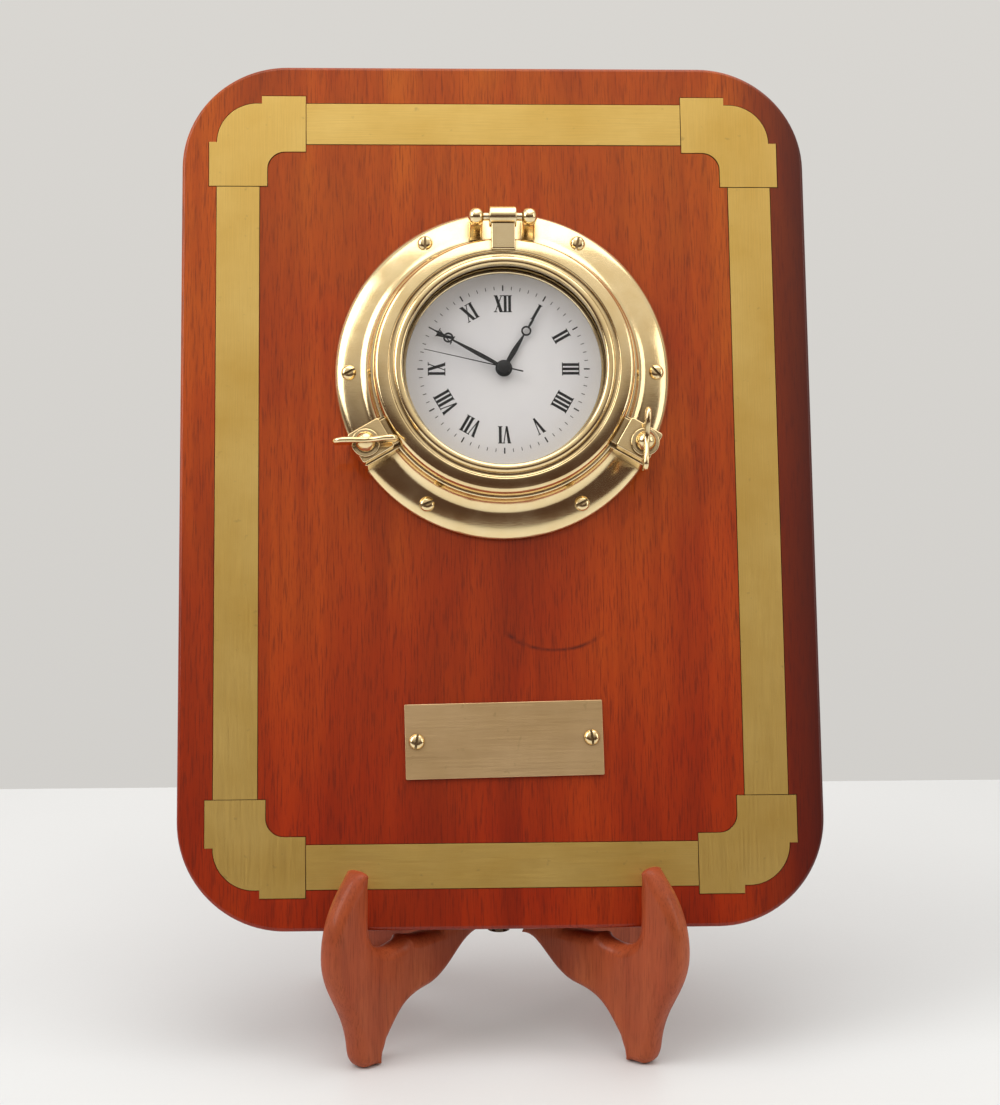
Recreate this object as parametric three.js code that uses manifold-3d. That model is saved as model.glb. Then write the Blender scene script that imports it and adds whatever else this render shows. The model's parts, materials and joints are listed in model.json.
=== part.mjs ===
/**
 * Ship's deck clock.
 *
 * A quartz clock sits behind the hinged glass door of a small brass porthole. The porthole is
 * screwed to a mahogany plaque with a brass inlay frame and a blank name plate, and the plaque
 * leans back in the notches of a folding stand made of two crossed wooden leaves.
 *
 * Millimetres. +Z is up and the clock faces -Y. The origin is under the middle of the whole
 * object, on the surface that it stands on.
 */
import * as THREE from 'three';
import { mergeVertices } from 'three/addons/utils/BufferGeometryUtils.js';
import Module from 'manifold-3d';

const wasm = await Module();
wasm.setup();

const DEG = Math.PI / 180;
const GAP = 0.3;                // between pieces that touch
const ROUND = 48;               // sides of a large circle
const SMALL_ROUND = 18;         // sides of a small one

// Plaque. Its own frame: x to the right, y up the board, z out of the front face.
const BOARD_WIDTH = 280;
const BOARD_HEIGHT = 386;
const BOARD_DEPTH = 20;
const BOARD_CORNER = 47;
const BOARD_EDGE = 1.5;         // chamfer round both faces
const BOARD_LEAN = 18 * DEG;
const BOARD_FOOT_Z = 57.7;      // height of the lower front edge
const CLOCK_HOLE_RADIUS = 45.8;

// Brass inlay, let into the front face
const INLAY_WIDTH = 19;
const INLAY_DEPTH = 1.2;
const INLAY_PROUD = 0.1;
const POCKET_DEPTH = 1.5;
const INLAY_X = 115;            // centre lines of the strips
const INLAY_Y = 166;
const CORNER_LEG_X = 84.8;      // where the corner pieces begin
const CORNER_LEG_Y = 137;
const CORNER_LIP = 3.5;         // how far a corner piece stands out past the strips
const CORNER_OUTER_RADIUS = 18;
const CORNER_INNER_RADIUS = 8;

// Name plate
const PLATE_WIDTH = 86;
const PLATE_HEIGHT = 32.5;
const PLATE_DEPTH = 1.2;
const PLATE_X = 1.2;
const PLATE_Y = -112;
const PLATE_TURN = 1 * DEG;
const PLATE_SCREW_X = 38;

// Wood screws with round slotted heads
const SCREW_HEAD_RADIUS = 3.4;
const SCREW_HEAD_HEIGHT = 2;
const SCREW_SHANK_RADIUS = 1.5;
const SCREW_LENGTH = 14;
const SCREW_SLOT = 0.9;

// Porthole. Its own frame: the plaque's, moved to the middle of the glass.
const CLOCK_X = 2.4;
const CLOCK_Y = 50;
const FLANGE_RADIUS = 74.2;
const NECK_RADIUS = 58.4;
const NECK_TOP = 15.4;
const BORE_RADIUS = 45.4;
const SEAT_RADIUS = 46.9;       // wider part of the bore, which takes the clock's rim
const SEAT_Z = 6;               // counted, like all of the insert, from the insert's own zero
const INSERT_Z = 5;             // height of that zero above the plaque
const FLANGE_SCREW_RADIUS = 68;
const FLANGE_SCREW_Z = 5.3;
const FLANGE_SCREWS = 6;

// Door of the porthole
const DOOR_RADIUS = 57.5;
const DOOR_BACK = NECK_TOP + GAP;
const DOOR_CREST = 23.7;
const DOOR_OPENING = 44.4;
const GLASS_RADIUS = 49.2;
const GLASS_BACK = 17.9;
const GLASS_DEPTH = 2;

// Hinge at the top of the porthole
const HINGE_Y = 67;
const HINGE_Z = 19.6;
const KNUCKLE_RADIUS = 4.6;
const KNUCKLE_HALF = 6;
const STRAP_HALF = 5.2;
const STRAP_END = 51;           // where the strap stops on the door's ring
const LUG_INNER = 8.2;
const LUG_OUTER = 15.2;
const LUG_RADIUS = 3.9;
const PIN_RADIUS = 1.8;

// Thumb screws that clamp the door
const CLAMP_RADIUS = 70;
const CLAMP_ANGLE = 120 * DEG;  // from the top of the porthole, both ways
const CLAMP_BASE_HALF = 8;
const CLAMP_DOOR_HALF = 7.3;
const CLAMP_DOOR_TOP = 21.6;
const CLAMP_HOLE = 2.6;
const WASHER_RADIUS = 6.2;
const WASHER_DEPTH = 1.4;
const WING_HALF = 14.2;
const WING_THICK = 2.4;
const WING_HEIGHT = 9;
const LEFT_WING_TURN = 3 * DEG;     // from level
const RIGHT_WING_TURN = 86 * DEG;

// Clock insert
const CASE_RADIUS = 44.8;
const CASE_BACK = -15;
const DIAL_RADIUS = 43.3;
const DIAL_Z = 6.5;
const DIAL_DEPTH = 0.6;
const DIAL_FOOT = { x: 22, y: 18, radius: 0.9 };
const ARBOR_HOLE = 3.1;
const BEZEL_OPENING = 43;

// Hands, measured from the middle of the dial. Angles are clockwise from twelve.
const HOUR_HAND = { angle: 31 * DEG, eye: 19.5, tip: 32, tail: 5, width: 1.5, ring: 2.3, hub: 3.7 };
const MINUTE_HAND = { angle: 299 * DEG, eye: 27.4, tip: 36, tail: 6, width: 1.3, ring: 2, hub: 3.1 };
const SECOND_HAND = { angle: 283 * DEG, tip: 36, tail: 8.6, width: 0.6, hub: 2.6 };
const HOUR_HAND_Z = 8.4;
const MINUTE_HAND_Z = 9.7;
const SECOND_HAND_Z = 10.9;
const HAND_THICK = 0.5;

// Quartz movement, behind the dial
const MOVEMENT_SIZE = 56;
const MOVEMENT_FRONT = 5.6;
const MOVEMENT_WALL = 1.4;
const MOVEMENT_BACK = -11;
const COVER_DEPTH = 1.4;
const BATTERY_RADIUS = 7.1;
const BATTERY_LENGTH = 48;
const BATTERY_Y = -18.6;
const BATTERY_Z = -3.4;

// Gear train: teeth of each pair, the distance between their arbors, and where the arbors stand
const ROTOR_PAIR = { driver: 6, driven: 30, distance: 6 };
const SECONDS_PAIR = { driver: 8, driven: 48, distance: 8.75 };
const THIRD_PAIR = { driver: 6, driven: 45, distance: 10.8 };
const CENTRE_PAIR = { driver: 6, driven: 48, distance: 10.8 };
const MINUTE_PAIR = { driver: 10, driven: 30, distance: 8.4 };
const HOUR_PAIR = { driver: 8, driven: 32, distance: 8.4 };
const THIRD_ARBOR = polar(THIRD_PAIR.distance, 140 * DEG);
const MINUTE_ARBOR = polar(MINUTE_PAIR.distance, 60 * DEG);
const INTERMEDIATE_ARBOR = polar(SECONDS_PAIR.distance, 8 * DEG);
const ROTOR_ARBOR = polar(ROTOR_PAIR.distance, 20 * DEG, INTERMEDIATE_ARBOR);
const KNOB_ARBOR = polar(MINUTE_PAIR.distance, 100 * DEG, MINUTE_ARBOR);
const ARBOR_RADIUS = 0.6;
const MINUTE_TUBE_RADIUS = 1.5;
const HOUR_TUBE_RADIUS = 2.5;

// Stand. Each leaf's own frame: s forward from the pivot, z up, and sideways from the pivot.
const PIVOT_Y = 45;             // behind the board's lower front edge
const LEAF_THICK = 12;
const LEAF_TURN = 45 * DEG;
const KNUCKLE_SPLIT_Z = 75;     // the left leaf has the lower knuckle, the right one the upper
const STAND_KNUCKLE_RADIUS = 10;
const STAND_KNUCKLE_TOP = 97;
const ARCH_TOP = 46;
const CROSSING_RELIEF = 13;
const STAND_PIN_RADIUS = 2.5;
const STAND_PIN_TOP = 99;

/* ---------------------------------------------------------------- small helpers */

function polar(radius, angle, centre = { x: 0, y: 0 }) {
  return { x: centre.x + radius * Math.cos(angle), y: centre.y + radius * Math.sin(angle) };
}

function material(color, roughness, metalness) {
  return new THREE.MeshStandardMaterial({ color, roughness, metalness });
}

const mahogany = () => material(0x8e3216, 0.25, 0);
const standWood = () => material(0x9a5238, 0.45, 0);
const polishedBrass = () => material(0xd9bd7c, 0.18, 1);
const satinBrass = () => material(0xbfa055, 0.4, 1);
const steel = () => material(0xb8bcc0, 0.35, 1);
const blackPaint = () => material(0x111111, 0.5, 0);
const whitePaint = () => material(0xe6e6e8, 0.6, 0);
const clearGlass = () => material(0xdfe8ea, 0.05, 0);
const greyPlastic = () => material(0x3a3d40, 0.6, 0);
const whitePlastic = () => material(0xe8e6df, 0.5, 0);
const copper = () => material(0xb06a3c, 0.4, 1);
const greenBoard = () => material(0x2f5d3a, 0.6, 0);

function toSolid(geometry) {
  const bare = geometry.index ? geometry.toNonIndexed() : geometry.clone();
  bare.deleteAttribute('normal');
  bare.deleteAttribute('uv');
  const merged = mergeVertices(bare, 1e-4);
  return new wasm.Manifold(new wasm.Mesh({
    numProp: 3,
    vertProperties: new Float32Array(merged.attributes.position.array),
    triVerts: new Uint32Array(merged.index.array),
  }));
}

function toGeometry(solid) {
  const mesh = solid.getMesh();
  const geometry = new THREE.BufferGeometry();
  geometry.setAttribute('position', new THREE.BufferAttribute(mesh.vertProperties, 3));
  geometry.setIndex(new THREE.BufferAttribute(mesh.triVerts, 1));
  geometry.computeVertexNormals();
  return geometry;
}

/** Joins the first geometries and cuts the others from them. */
function carve(joined, cut = []) {
  let solid = toSolid(joined[0]);
  for (const geometry of joined.slice(1)) {
    solid = solid.add(toSolid(geometry));
  }
  for (const geometry of cut) {
    solid = solid.subtract(toSolid(geometry));
  }
  return toGeometry(solid);
}

function common(first, second) {
  return toGeometry(toSolid(first).intersect(toSolid(second)));
}

function node(name, geometry, look) {
  const mesh = new THREE.Mesh(geometry, look);
  mesh.name = name;
  return mesh;
}

/** An outline in x and y, pushed from z = low to z = high. */
function slab(shape, low, high, curveSegments = 8) {
  const geometry = new THREE.ExtrudeGeometry(shape, {
    depth: high - low,
    bevelEnabled: false,
    curveSegments,
  });
  return geometry.translate(0, 0, low);
}

/** A box between two corners. */
function block(x0, x1, y0, y1, z0, z1) {
  const geometry = new THREE.BoxGeometry(x1 - x0, y1 - y0, z1 - z0);
  return geometry.translate((x0 + x1) / 2, (y0 + y1) / 2, (z0 + z1) / 2);
}

/** A round rod along z. */
function rod(radius, low, high, sides = SMALL_ROUND, x = 0, y = 0) {
  const geometry = new THREE.CylinderGeometry(radius, radius, high - low, sides);
  return geometry.rotateX(90 * DEG).translate(x, y, (low + high) / 2);
}

/** A round rod along x. */
function crossRod(radius, from, to, y, z, sides = SMALL_ROUND) {
  const geometry = new THREE.CylinderGeometry(radius, radius, to - from, sides);
  return geometry.rotateZ(90 * DEG).translate((from + to) / 2, y, z);
}

/** A turned piece about z. The profile holds radius and z, anticlockwise. */
function turned(profile, sides = ROUND) {
  return new THREE.LatheGeometry(profile, sides).rotateX(90 * DEG);
}

/** A plain ring about z. */
function ring(outer, inner, low, high, sides = ROUND) {
  const profile = [[inner, low], [outer, low], [outer, high], [inner, high], [inner, low]];
  return turned(profile.map(([r, z]) => new THREE.Vector2(r, z)), sides);
}

function roundedRectangle(width, height, radius) {
  const x = width / 2;
  const y = height / 2;
  const shape = new THREE.Shape();
  shape.moveTo(-x + radius, -y);
  shape.lineTo(x - radius, -y);
  shape.absarc(x - radius, -y + radius, radius, -90 * DEG, 0, false);
  shape.lineTo(x, y - radius);
  shape.absarc(x - radius, y - radius, radius, 0, 90 * DEG, false);
  shape.lineTo(-x + radius, y);
  shape.absarc(-x + radius, y - radius, radius, 90 * DEG, 180 * DEG, false);
  shape.lineTo(-x, -y + radius);
  shape.absarc(-x + radius, -y + radius, radius, 180 * DEG, 270 * DEG, false);
  return shape;
}

function rectangle(x0, x1, y0, y1) {
  const corners = [[x0, y0], [x1, y0], [x1, y1], [x0, y1]];
  return new THREE.Shape(corners.map(([x, y]) => new THREE.Vector2(x, y)));
}

/* ---------------------------------------------------------------- plaque */

/** One corner piece of the inlay, for the quarter with positive x and y. */
function cornerOutline(grow = 0) {
  const half = INLAY_WIDTH / 2;
  const innerX = INLAY_X - half - CORNER_LIP - grow;
  const outerX = INLAY_X + half + CORNER_LIP + grow;
  const innerY = INLAY_Y - half - CORNER_LIP - grow;
  const outerY = INLAY_Y + half + CORNER_LIP + grow;
  const stepX = INLAY_X + half + grow;
  const stepY = INLAY_Y + half + grow;
  const radius = CORNER_OUTER_RADIUS + grow;
  const arcX = stepX - radius;
  const arcY = stepY - radius;
  const tabX = arcX - 2;
  const tabY = arcY;
  const inner = CORNER_INNER_RADIUS;
  const shape = new THREE.Shape();
  shape.moveTo(CORNER_LEG_X - grow, innerY);
  shape.lineTo(innerX - inner, innerY);
  shape.absarc(innerX - inner, innerY - inner, inner, 90 * DEG, 0, true);
  shape.lineTo(innerX, CORNER_LEG_Y - grow);
  shape.lineTo(outerX, CORNER_LEG_Y - grow);
  shape.lineTo(outerX, tabY);
  shape.lineTo(stepX, tabY);
  shape.absarc(arcX, arcY, radius, 0, 90 * DEG, false);
  shape.lineTo(tabX, stepY);
  shape.lineTo(tabX, outerY);
  shape.lineTo(CORNER_LEG_X - grow, outerY);
  return shape;
}

/** Turns an outline over: sx and sy are 1 or -1. */
function mirrored(shape, sx, sy) {
  const points = shape.extractPoints(6).shape.map((p) => new THREE.Vector2(p.x * sx, p.y * sy));
  if (sx * sy < 0) {
    points.reverse();
  }
  return new THREE.Shape(points);
}

/** The eight pieces of the inlay as outlines; grow widens them for the pockets. */
function inlayOutlines(grow = 0) {
  const half = INLAY_WIDTH / 2 + grow;
  const endX = CORNER_LEG_X - GAP + 2 * grow;
  const endY = CORNER_LEG_Y - GAP + 2 * grow;
  const corner = cornerOutline(grow);
  return {
    inlay_strip_top: rectangle(-endX, endX, INLAY_Y - half, INLAY_Y + half),
    inlay_strip_bottom: rectangle(-endX, endX, -INLAY_Y - half, -INLAY_Y + half),
    inlay_strip_left: rectangle(-INLAY_X - half, -INLAY_X + half, -endY, endY),
    inlay_strip_right: rectangle(INLAY_X - half, INLAY_X + half, -endY, endY),
    inlay_corner_top_right: mirrored(corner, 1, 1),
    inlay_corner_top_left: mirrored(corner, -1, 1),
    inlay_corner_bottom_right: mirrored(corner, 1, -1),
    inlay_corner_bottom_left: mirrored(corner, -1, -1),
  };
}

function board() {
  const inset = roundedRectangle(
    BOARD_WIDTH - 2 * BOARD_EDGE,
    BOARD_HEIGHT - 2 * BOARD_EDGE,
    BOARD_CORNER - BOARD_EDGE,
  );
  const body = new THREE.ExtrudeGeometry(inset, {
    depth: BOARD_DEPTH - 2 * BOARD_EDGE,
    bevelSize: BOARD_EDGE,
    bevelThickness: BOARD_EDGE,
    bevelSegments: 1,
    curveSegments: 8,
  }).translate(0, 0, -BOARD_DEPTH + BOARD_EDGE);
  const pockets = Object.values(inlayOutlines(GAP)).map((shape) => slab(shape, -POCKET_DEPTH, 1));
  const hole = rod(CLOCK_HOLE_RADIUS, -BOARD_DEPTH - 1, 1, ROUND, CLOCK_X, CLOCK_Y);
  const flangeScrewHoles = flangeScrewPlaces().map(({ x, y }) =>
    rod(SCREW_SHANK_RADIUS + GAP, -SCREW_LENGTH, 1, 8, CLOCK_X + x, CLOCK_Y + y));
  const plateScrewHoles = [-PLATE_SCREW_X, PLATE_SCREW_X].map((x) =>
    rod(SCREW_SHANK_RADIUS + GAP, -SCREW_LENGTH, 1, 8, ...platePoint(x)));
  return carve([body], [...pockets, hole, ...flangeScrewHoles, ...plateScrewHoles]);
}

/** A point of the name plate's centre line, in the plaque's frame. */
function platePoint(x) {
  return [PLATE_X + x * Math.cos(PLATE_TURN), PLATE_Y + x * Math.sin(PLATE_TURN)];
}

function namePlate() {
  const shape = rectangle(-PLATE_WIDTH / 2, PLATE_WIDTH / 2, -PLATE_HEIGHT / 2, PLATE_HEIGHT / 2);
  for (const x of [-PLATE_SCREW_X, PLATE_SCREW_X]) {
    const hole = new THREE.Path();
    hole.absarc(x, 0, SCREW_SHANK_RADIUS + GAP, 0, 360 * DEG, true);
    shape.holes.push(hole);
  }
  return slab(shape, GAP, GAP + PLATE_DEPTH, 6);
}

/** A round-headed wood screw with its seat at z = 0 and the slot along x. */
function woodScrew(length) {
  const profile = new THREE.Path();
  profile.moveTo(0, -length);
  profile.lineTo(SCREW_SHANK_RADIUS, -length + 3);
  profile.lineTo(SCREW_SHANK_RADIUS, 0);
  profile.lineTo(SCREW_HEAD_RADIUS, 0);
  profile.lineTo(SCREW_HEAD_RADIUS, 0.3);
  profile.quadraticCurveTo(SCREW_HEAD_RADIUS * 0.9, SCREW_HEAD_HEIGHT, 0, SCREW_HEAD_HEIGHT);
  const slot = block(-5, 5, -SCREW_SLOT / 2, SCREW_SLOT / 2, SCREW_HEAD_HEIGHT - 0.9, 5);
  return carve([turned(profile.getPoints(2), 12)], [slot]);
}

function plaquePieces() {
  const group = new THREE.Group();
  group.add(node('board', board(), mahogany()));
  for (const [name, shape] of Object.entries(inlayOutlines())) {
    group.add(node(name, slab(shape, -INLAY_DEPTH, INLAY_PROUD), satinBrass()));
  }
  const plate = node('name_plate', namePlate(), satinBrass());
  plate.position.set(PLATE_X, PLATE_Y, 0);
  plate.rotation.z = PLATE_TURN;
  group.add(plate);
  for (const [name, side, turn] of [['left', -1, 80 * DEG], ['right', 1, 97 * DEG]]) {
    const screw = node(`name_plate_screw_${name}`, woodScrew(SCREW_LENGTH - 3), polishedBrass());
    screw.position.set(...platePoint(side * PLATE_SCREW_X), PLATE_DEPTH + 2 * GAP);
    screw.rotation.z = turn;
    group.add(screw);
  }
  return group;
}

/* ---------------------------------------------------------------- porthole */

function flangeScrewPlaces() {
  const places = [];
  for (let i = 0; i < FLANGE_SCREWS; i += 1) {
    places.push(polar(FLANGE_SCREW_RADIUS, (60 - i * 360 / FLANGE_SCREWS) * DEG));
  }
  return places;
}

/** The direction of a clamp from the middle of the porthole; side is -1 left, 1 right. */
function clampDirection(side) {
  return 90 * DEG - side * CLAMP_ANGLE;
}

/** A block that reaches outward along +x, turned to a clamp's direction. */
function clampBlock(side, from, to, half, low, high) {
  const shape = new THREE.Shape();
  const round = 2;
  shape.moveTo(from, -half);
  shape.lineTo(to - round, -half);
  shape.absarc(to - round, -half + round, round, -90 * DEG, 0, false);
  shape.lineTo(to, half - round);
  shape.absarc(to - round, half - round, round, 0, 90 * DEG, false);
  shape.lineTo(from, half);
  return slab(shape, low, high, 3).rotateZ(clampDirection(side));
}

/** Rounded rim, hollow cove and neck of the fixed ring, as radius and z. */
function baseProfile() {
  const profile = new THREE.Path();
  profile.moveTo(BORE_RADIUS, GAP);
  profile.lineTo(FLANGE_RADIUS, GAP);
  profile.lineTo(FLANGE_RADIUS, 1.8);
  profile.quadraticCurveTo(FLANGE_RADIUS - 0.3, 4.2, 71.2, 4.6);
  profile.quadraticCurveTo(67, 5.2, 63.6, 6.4);
  profile.bezierCurveTo(61.2, 7.25, NECK_RADIUS, 9, NECK_RADIUS, 12.6);
  profile.lineTo(NECK_RADIUS, NECK_TOP);
  profile.lineTo(SEAT_RADIUS, NECK_TOP);
  profile.lineTo(SEAT_RADIUS, INSERT_Z + SEAT_Z);
  profile.lineTo(BORE_RADIUS, INSERT_Z + SEAT_Z);
  profile.lineTo(BORE_RADIUS, GAP);
  return profile.getPoints(4);
}

/** One hinge lug: a round eye round the pin and an arm down to the flange. */
function hingeLug(side) {
  const low = side < 0 ? -LUG_OUTER : LUG_INNER;
  const eye = new THREE.SphereGeometry(LUG_RADIUS, 12, 8)
    .scale((LUG_OUTER - LUG_INNER) / 2 / LUG_RADIUS, 1, 1)
    .translate(low + (LUG_OUTER - LUG_INNER) / 2, HINGE_Y, HINGE_Z);
  const outline = new THREE.Shape();
  outline.moveTo(NECK_RADIUS + 0.4, 3);
  outline.lineTo(HINGE_Y + 3.5, 3);
  outline.quadraticCurveTo(HINGE_Y + 2.6, 10, HINGE_Y + 2.8, HINGE_Z);
  outline.lineTo(HINGE_Y - 2.8, HINGE_Z);
  outline.quadraticCurveTo(NECK_RADIUS + 2, 13, NECK_RADIUS + 0.4, 11);
  const thick = LUG_OUTER - LUG_INNER - 1;
  const arm = new THREE.ExtrudeGeometry(outline, { depth: thick, bevelEnabled: false, curveSegments: 4 })
    .rotateX(90 * DEG)
    .rotateZ(90 * DEG)
    .translate(low + 0.5, 0, 0);
  return [eye, arm];
}

function portholeBase() {
  const lugs = [...hingeLug(-1), ...hingeLug(1)];
  const clampLugs = [-1, 1].map((side) =>
    clampBlock(side, NECK_RADIUS - 3, FLANGE_RADIUS + 0.4, CLAMP_BASE_HALF, 2, NECK_TOP));
  const clampHoles = [-1, 1].map((side) => {
    const { x, y } = polar(CLAMP_RADIUS, clampDirection(side));
    return rod(CLAMP_HOLE, 3.4, NECK_TOP + 1, 12, x, y);
  });
  const screwHoles = flangeScrewPlaces().map(({ x, y }) =>
    rod(SCREW_SHANK_RADIUS + GAP, -1, 12, 8, x, y));
  const screwSeats = flangeScrewPlaces().map(({ x, y }) =>
    rod(SCREW_HEAD_RADIUS + 0.5, FLANGE_SCREW_Z - GAP, 9, 12, x, y));
  const pinHole = crossRod(PIN_RADIUS + GAP, -20, 20, HINGE_Y, HINGE_Z, 12);
  return carve(
    [turned(baseProfile()), ...lugs, ...clampLugs],
    [...clampHoles, ...screwHoles, ...screwSeats, pinHole],
  );
}

/** Domed ring of the door with a raised lip inside and a rebate for the glass behind it. */
function doorProfile() {
  const rebate = GLASS_RADIUS + 0.4;
  const shelf = GLASS_BACK + GLASS_DEPTH + GAP;
  const profile = new THREE.Path();
  profile.moveTo(rebate, DOOR_BACK);
  profile.lineTo(DOOR_RADIUS, DOOR_BACK);
  profile.lineTo(DOOR_RADIUS, DOOR_CREST - 6.5);
  profile.quadraticCurveTo(DOOR_RADIUS - 0.2, DOOR_CREST - 2.3, 55.2, DOOR_CREST - 1.8);
  profile.quadraticCurveTo(53, DOOR_CREST - 1.2, 50.8, DOOR_CREST - 1);
  profile.lineTo(50.3, DOOR_CREST - 1.9);
  profile.lineTo(48.4, DOOR_CREST - 1.9);
  profile.quadraticCurveTo(48.4, DOOR_CREST, 46.4, DOOR_CREST);
  profile.quadraticCurveTo(DOOR_OPENING, DOOR_CREST, DOOR_OPENING, DOOR_CREST - 1.9);
  profile.lineTo(DOOR_OPENING, shelf);
  profile.lineTo(rebate, shelf);
  profile.lineTo(rebate, DOOR_BACK);
  return profile.getPoints(4);
}

/** Strap from the knuckle down over the door's ring, drawn from the side as y and z. */
function doorStrap() {
  const outline = new THREE.Shape();
  outline.moveTo(STRAP_END, DOOR_CREST - 4);
  outline.lineTo(STRAP_END, DOOR_CREST - 0.3);
  outline.quadraticCurveTo(STRAP_END, DOOR_CREST + 0.4, STRAP_END + 1, DOOR_CREST + 0.4);
  outline.lineTo(HINGE_Y - 4.4, DOOR_CREST + 0.7);
  outline.lineTo(HINGE_Y - 4.4, HINGE_Z + 2);
  outline.lineTo(HINGE_Y, HINGE_Z + 2);
  outline.lineTo(HINGE_Y, HINGE_Z - 2.2);
  outline.lineTo(DOOR_RADIUS - 3.5, HINGE_Z - 2.2);
  return new THREE.ExtrudeGeometry(outline, { depth: 2 * STRAP_HALF, bevelEnabled: false, curveSegments: 4 })
    .rotateX(90 * DEG)
    .rotateZ(90 * DEG)
    .translate(-STRAP_HALF, 0, 0);
}

function portholeDoor() {
  const knuckle = crossRod(KNUCKLE_RADIUS, -KNUCKLE_HALF, KNUCKLE_HALF, HINGE_Y, HINGE_Z, 18);
  const clampLugs = [-1, 1].map((side) =>
    clampBlock(side, DOOR_RADIUS - 4, FLANGE_RADIUS + 1, CLAMP_DOOR_HALF, DOOR_BACK, CLAMP_DOOR_TOP));
  const holes = [-1, 1].map((side) => {
    const { x, y } = polar(CLAMP_RADIUS, clampDirection(side));
    return rod(2.3, DOOR_BACK - 1, CLAMP_DOOR_TOP + 1, 12, x, y);
  });
  const pinHole = crossRod(PIN_RADIUS + GAP, -20, 20, HINGE_Y, HINGE_Z, 12);
  return carve([turned(doorProfile()), knuckle, doorStrap(), ...clampLugs], [...holes, pinHole]);
}

/** Hub, shank and butterfly wing of a thumb screw; z = 0 is the face of the washer. */
function thumbScrew() {
  const wing = new THREE.Shape();
  wing.moveTo(-3, 0.5);
  wing.bezierCurveTo(-7, 1, -9, 2.2, -WING_HALF + 1, 2.6);
  wing.bezierCurveTo(-WING_HALF - 1, 5, -WING_HALF, WING_HEIGHT, -WING_HALF + 4, WING_HEIGHT);
  wing.bezierCurveTo(-6, WING_HEIGHT, -3, 6.5, 0, 6.5);
  wing.bezierCurveTo(3, 6.5, 6, WING_HEIGHT, WING_HALF - 4, WING_HEIGHT);
  wing.bezierCurveTo(WING_HALF, WING_HEIGHT, WING_HALF + 1, 5, WING_HALF - 1, 2.6);
  wing.bezierCurveTo(9, 2.2, 7, 1, 3, 0.5);
  const plate = new THREE.ExtrudeGeometry(wing, {
    depth: WING_THICK,
    bevelEnabled: false,
    curveSegments: 4,
  }).translate(0, 0, -WING_THICK / 2).rotateX(90 * DEG);
  const hub = new THREE.Path();
  hub.moveTo(0, -11);
  hub.lineTo(1.6, -11);
  hub.lineTo(2, -10.4);
  hub.lineTo(2, GAP);
  hub.lineTo(4.4, GAP);
  hub.quadraticCurveTo(4.2, 4.6, 0, 6);
  return carve([turned(hub.getPoints(4), 16), plate]);
}

function portholePieces() {
  const group = new THREE.Group();
  group.position.set(CLOCK_X, CLOCK_Y, 0);
  group.add(node('porthole_base', portholeBase(), polishedBrass()));
  const slotTurns = [78, 130, 30, 22, 28, 90];
  flangeScrewPlaces().forEach(({ x, y }, index) => {
    const screw = node(`flange_screw_${index + 1}`, woodScrew(SCREW_LENGTH), polishedBrass());
    screw.position.set(x, y, FLANGE_SCREW_Z);
    screw.rotation.z = slotTurns[index] * DEG;
    group.add(screw);
  });
  group.add(node('porthole_door', portholeDoor(), polishedBrass()));
  const pin = crossRod(PIN_RADIUS, -LUG_OUTER, LUG_OUTER, HINGE_Y, HINGE_Z, 12);
  group.add(node('hinge_pin', pin, polishedBrass()));
  const glass = rod(GLASS_RADIUS, GLASS_BACK, GLASS_BACK + GLASS_DEPTH, ROUND);
  group.add(node('door_glass', glass, clearGlass()));
  const retainer = ring(GLASS_RADIUS, DOOR_OPENING, DOOR_BACK + GAP, GLASS_BACK - GAP);
  group.add(node('glass_retaining_ring', retainer, satinBrass()));
  const wings = { left: [-1, LEFT_WING_TURN], right: [1, RIGHT_WING_TURN] };
  for (const [name, [side, turn]] of Object.entries(wings)) {
    const { x, y } = polar(CLAMP_RADIUS, clampDirection(side));
    const washer = ring(WASHER_RADIUS, 2.3, 0, WASHER_DEPTH, SMALL_ROUND);
    const washerNode = node(`thumb_screw_washer_${name}`, washer, polishedBrass());
    washerNode.position.set(x, y, CLAMP_DOOR_TOP + GAP);
    group.add(washerNode);
    const screw = node(`thumb_screw_${name}`, thumbScrew(), polishedBrass());
    screw.position.set(x, y, CLAMP_DOOR_TOP + GAP + WASHER_DEPTH);
    screw.rotation.z = turn;
    group.add(screw);
  }
  return group;
}

/* ---------------------------------------------------------------- clock insert */

function insertCase() {
  const inner = CASE_RADIUS - 2.4;
  const ledge = DIAL_Z - GAP;
  const rim = SEAT_RADIUS - 0.4;
  const profile = [
    [inner, CASE_BACK],
    [CASE_RADIUS, CASE_BACK],
    [CASE_RADIUS, SEAT_Z + GAP],
    [rim, SEAT_Z + GAP],
    [rim, SEAT_Z + GAP + 1],
    [DIAL_RADIUS + GAP, SEAT_Z + GAP + 1],
    [DIAL_RADIUS + GAP, ledge],
    [inner, ledge],
    [inner, CASE_BACK],
  ];
  return turned(profile.map(([r, z]) => new THREE.Vector2(r, z)));
}

function insertBezel() {
  const low = SEAT_Z + GAP + 1 + GAP;
  const rim = SEAT_RADIUS - 0.4;
  const profile = new THREE.Path();
  profile.moveTo(BEZEL_OPENING, low);
  profile.lineTo(rim, low);
  profile.lineTo(rim, low + 0.8);
  profile.quadraticCurveTo(45, low + 2, 43.4, low + 1.6);
  profile.lineTo(BEZEL_OPENING, low + 1.2);
  profile.lineTo(BEZEL_OPENING, low);
  return turned(profile.getPoints(2));
}

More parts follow.
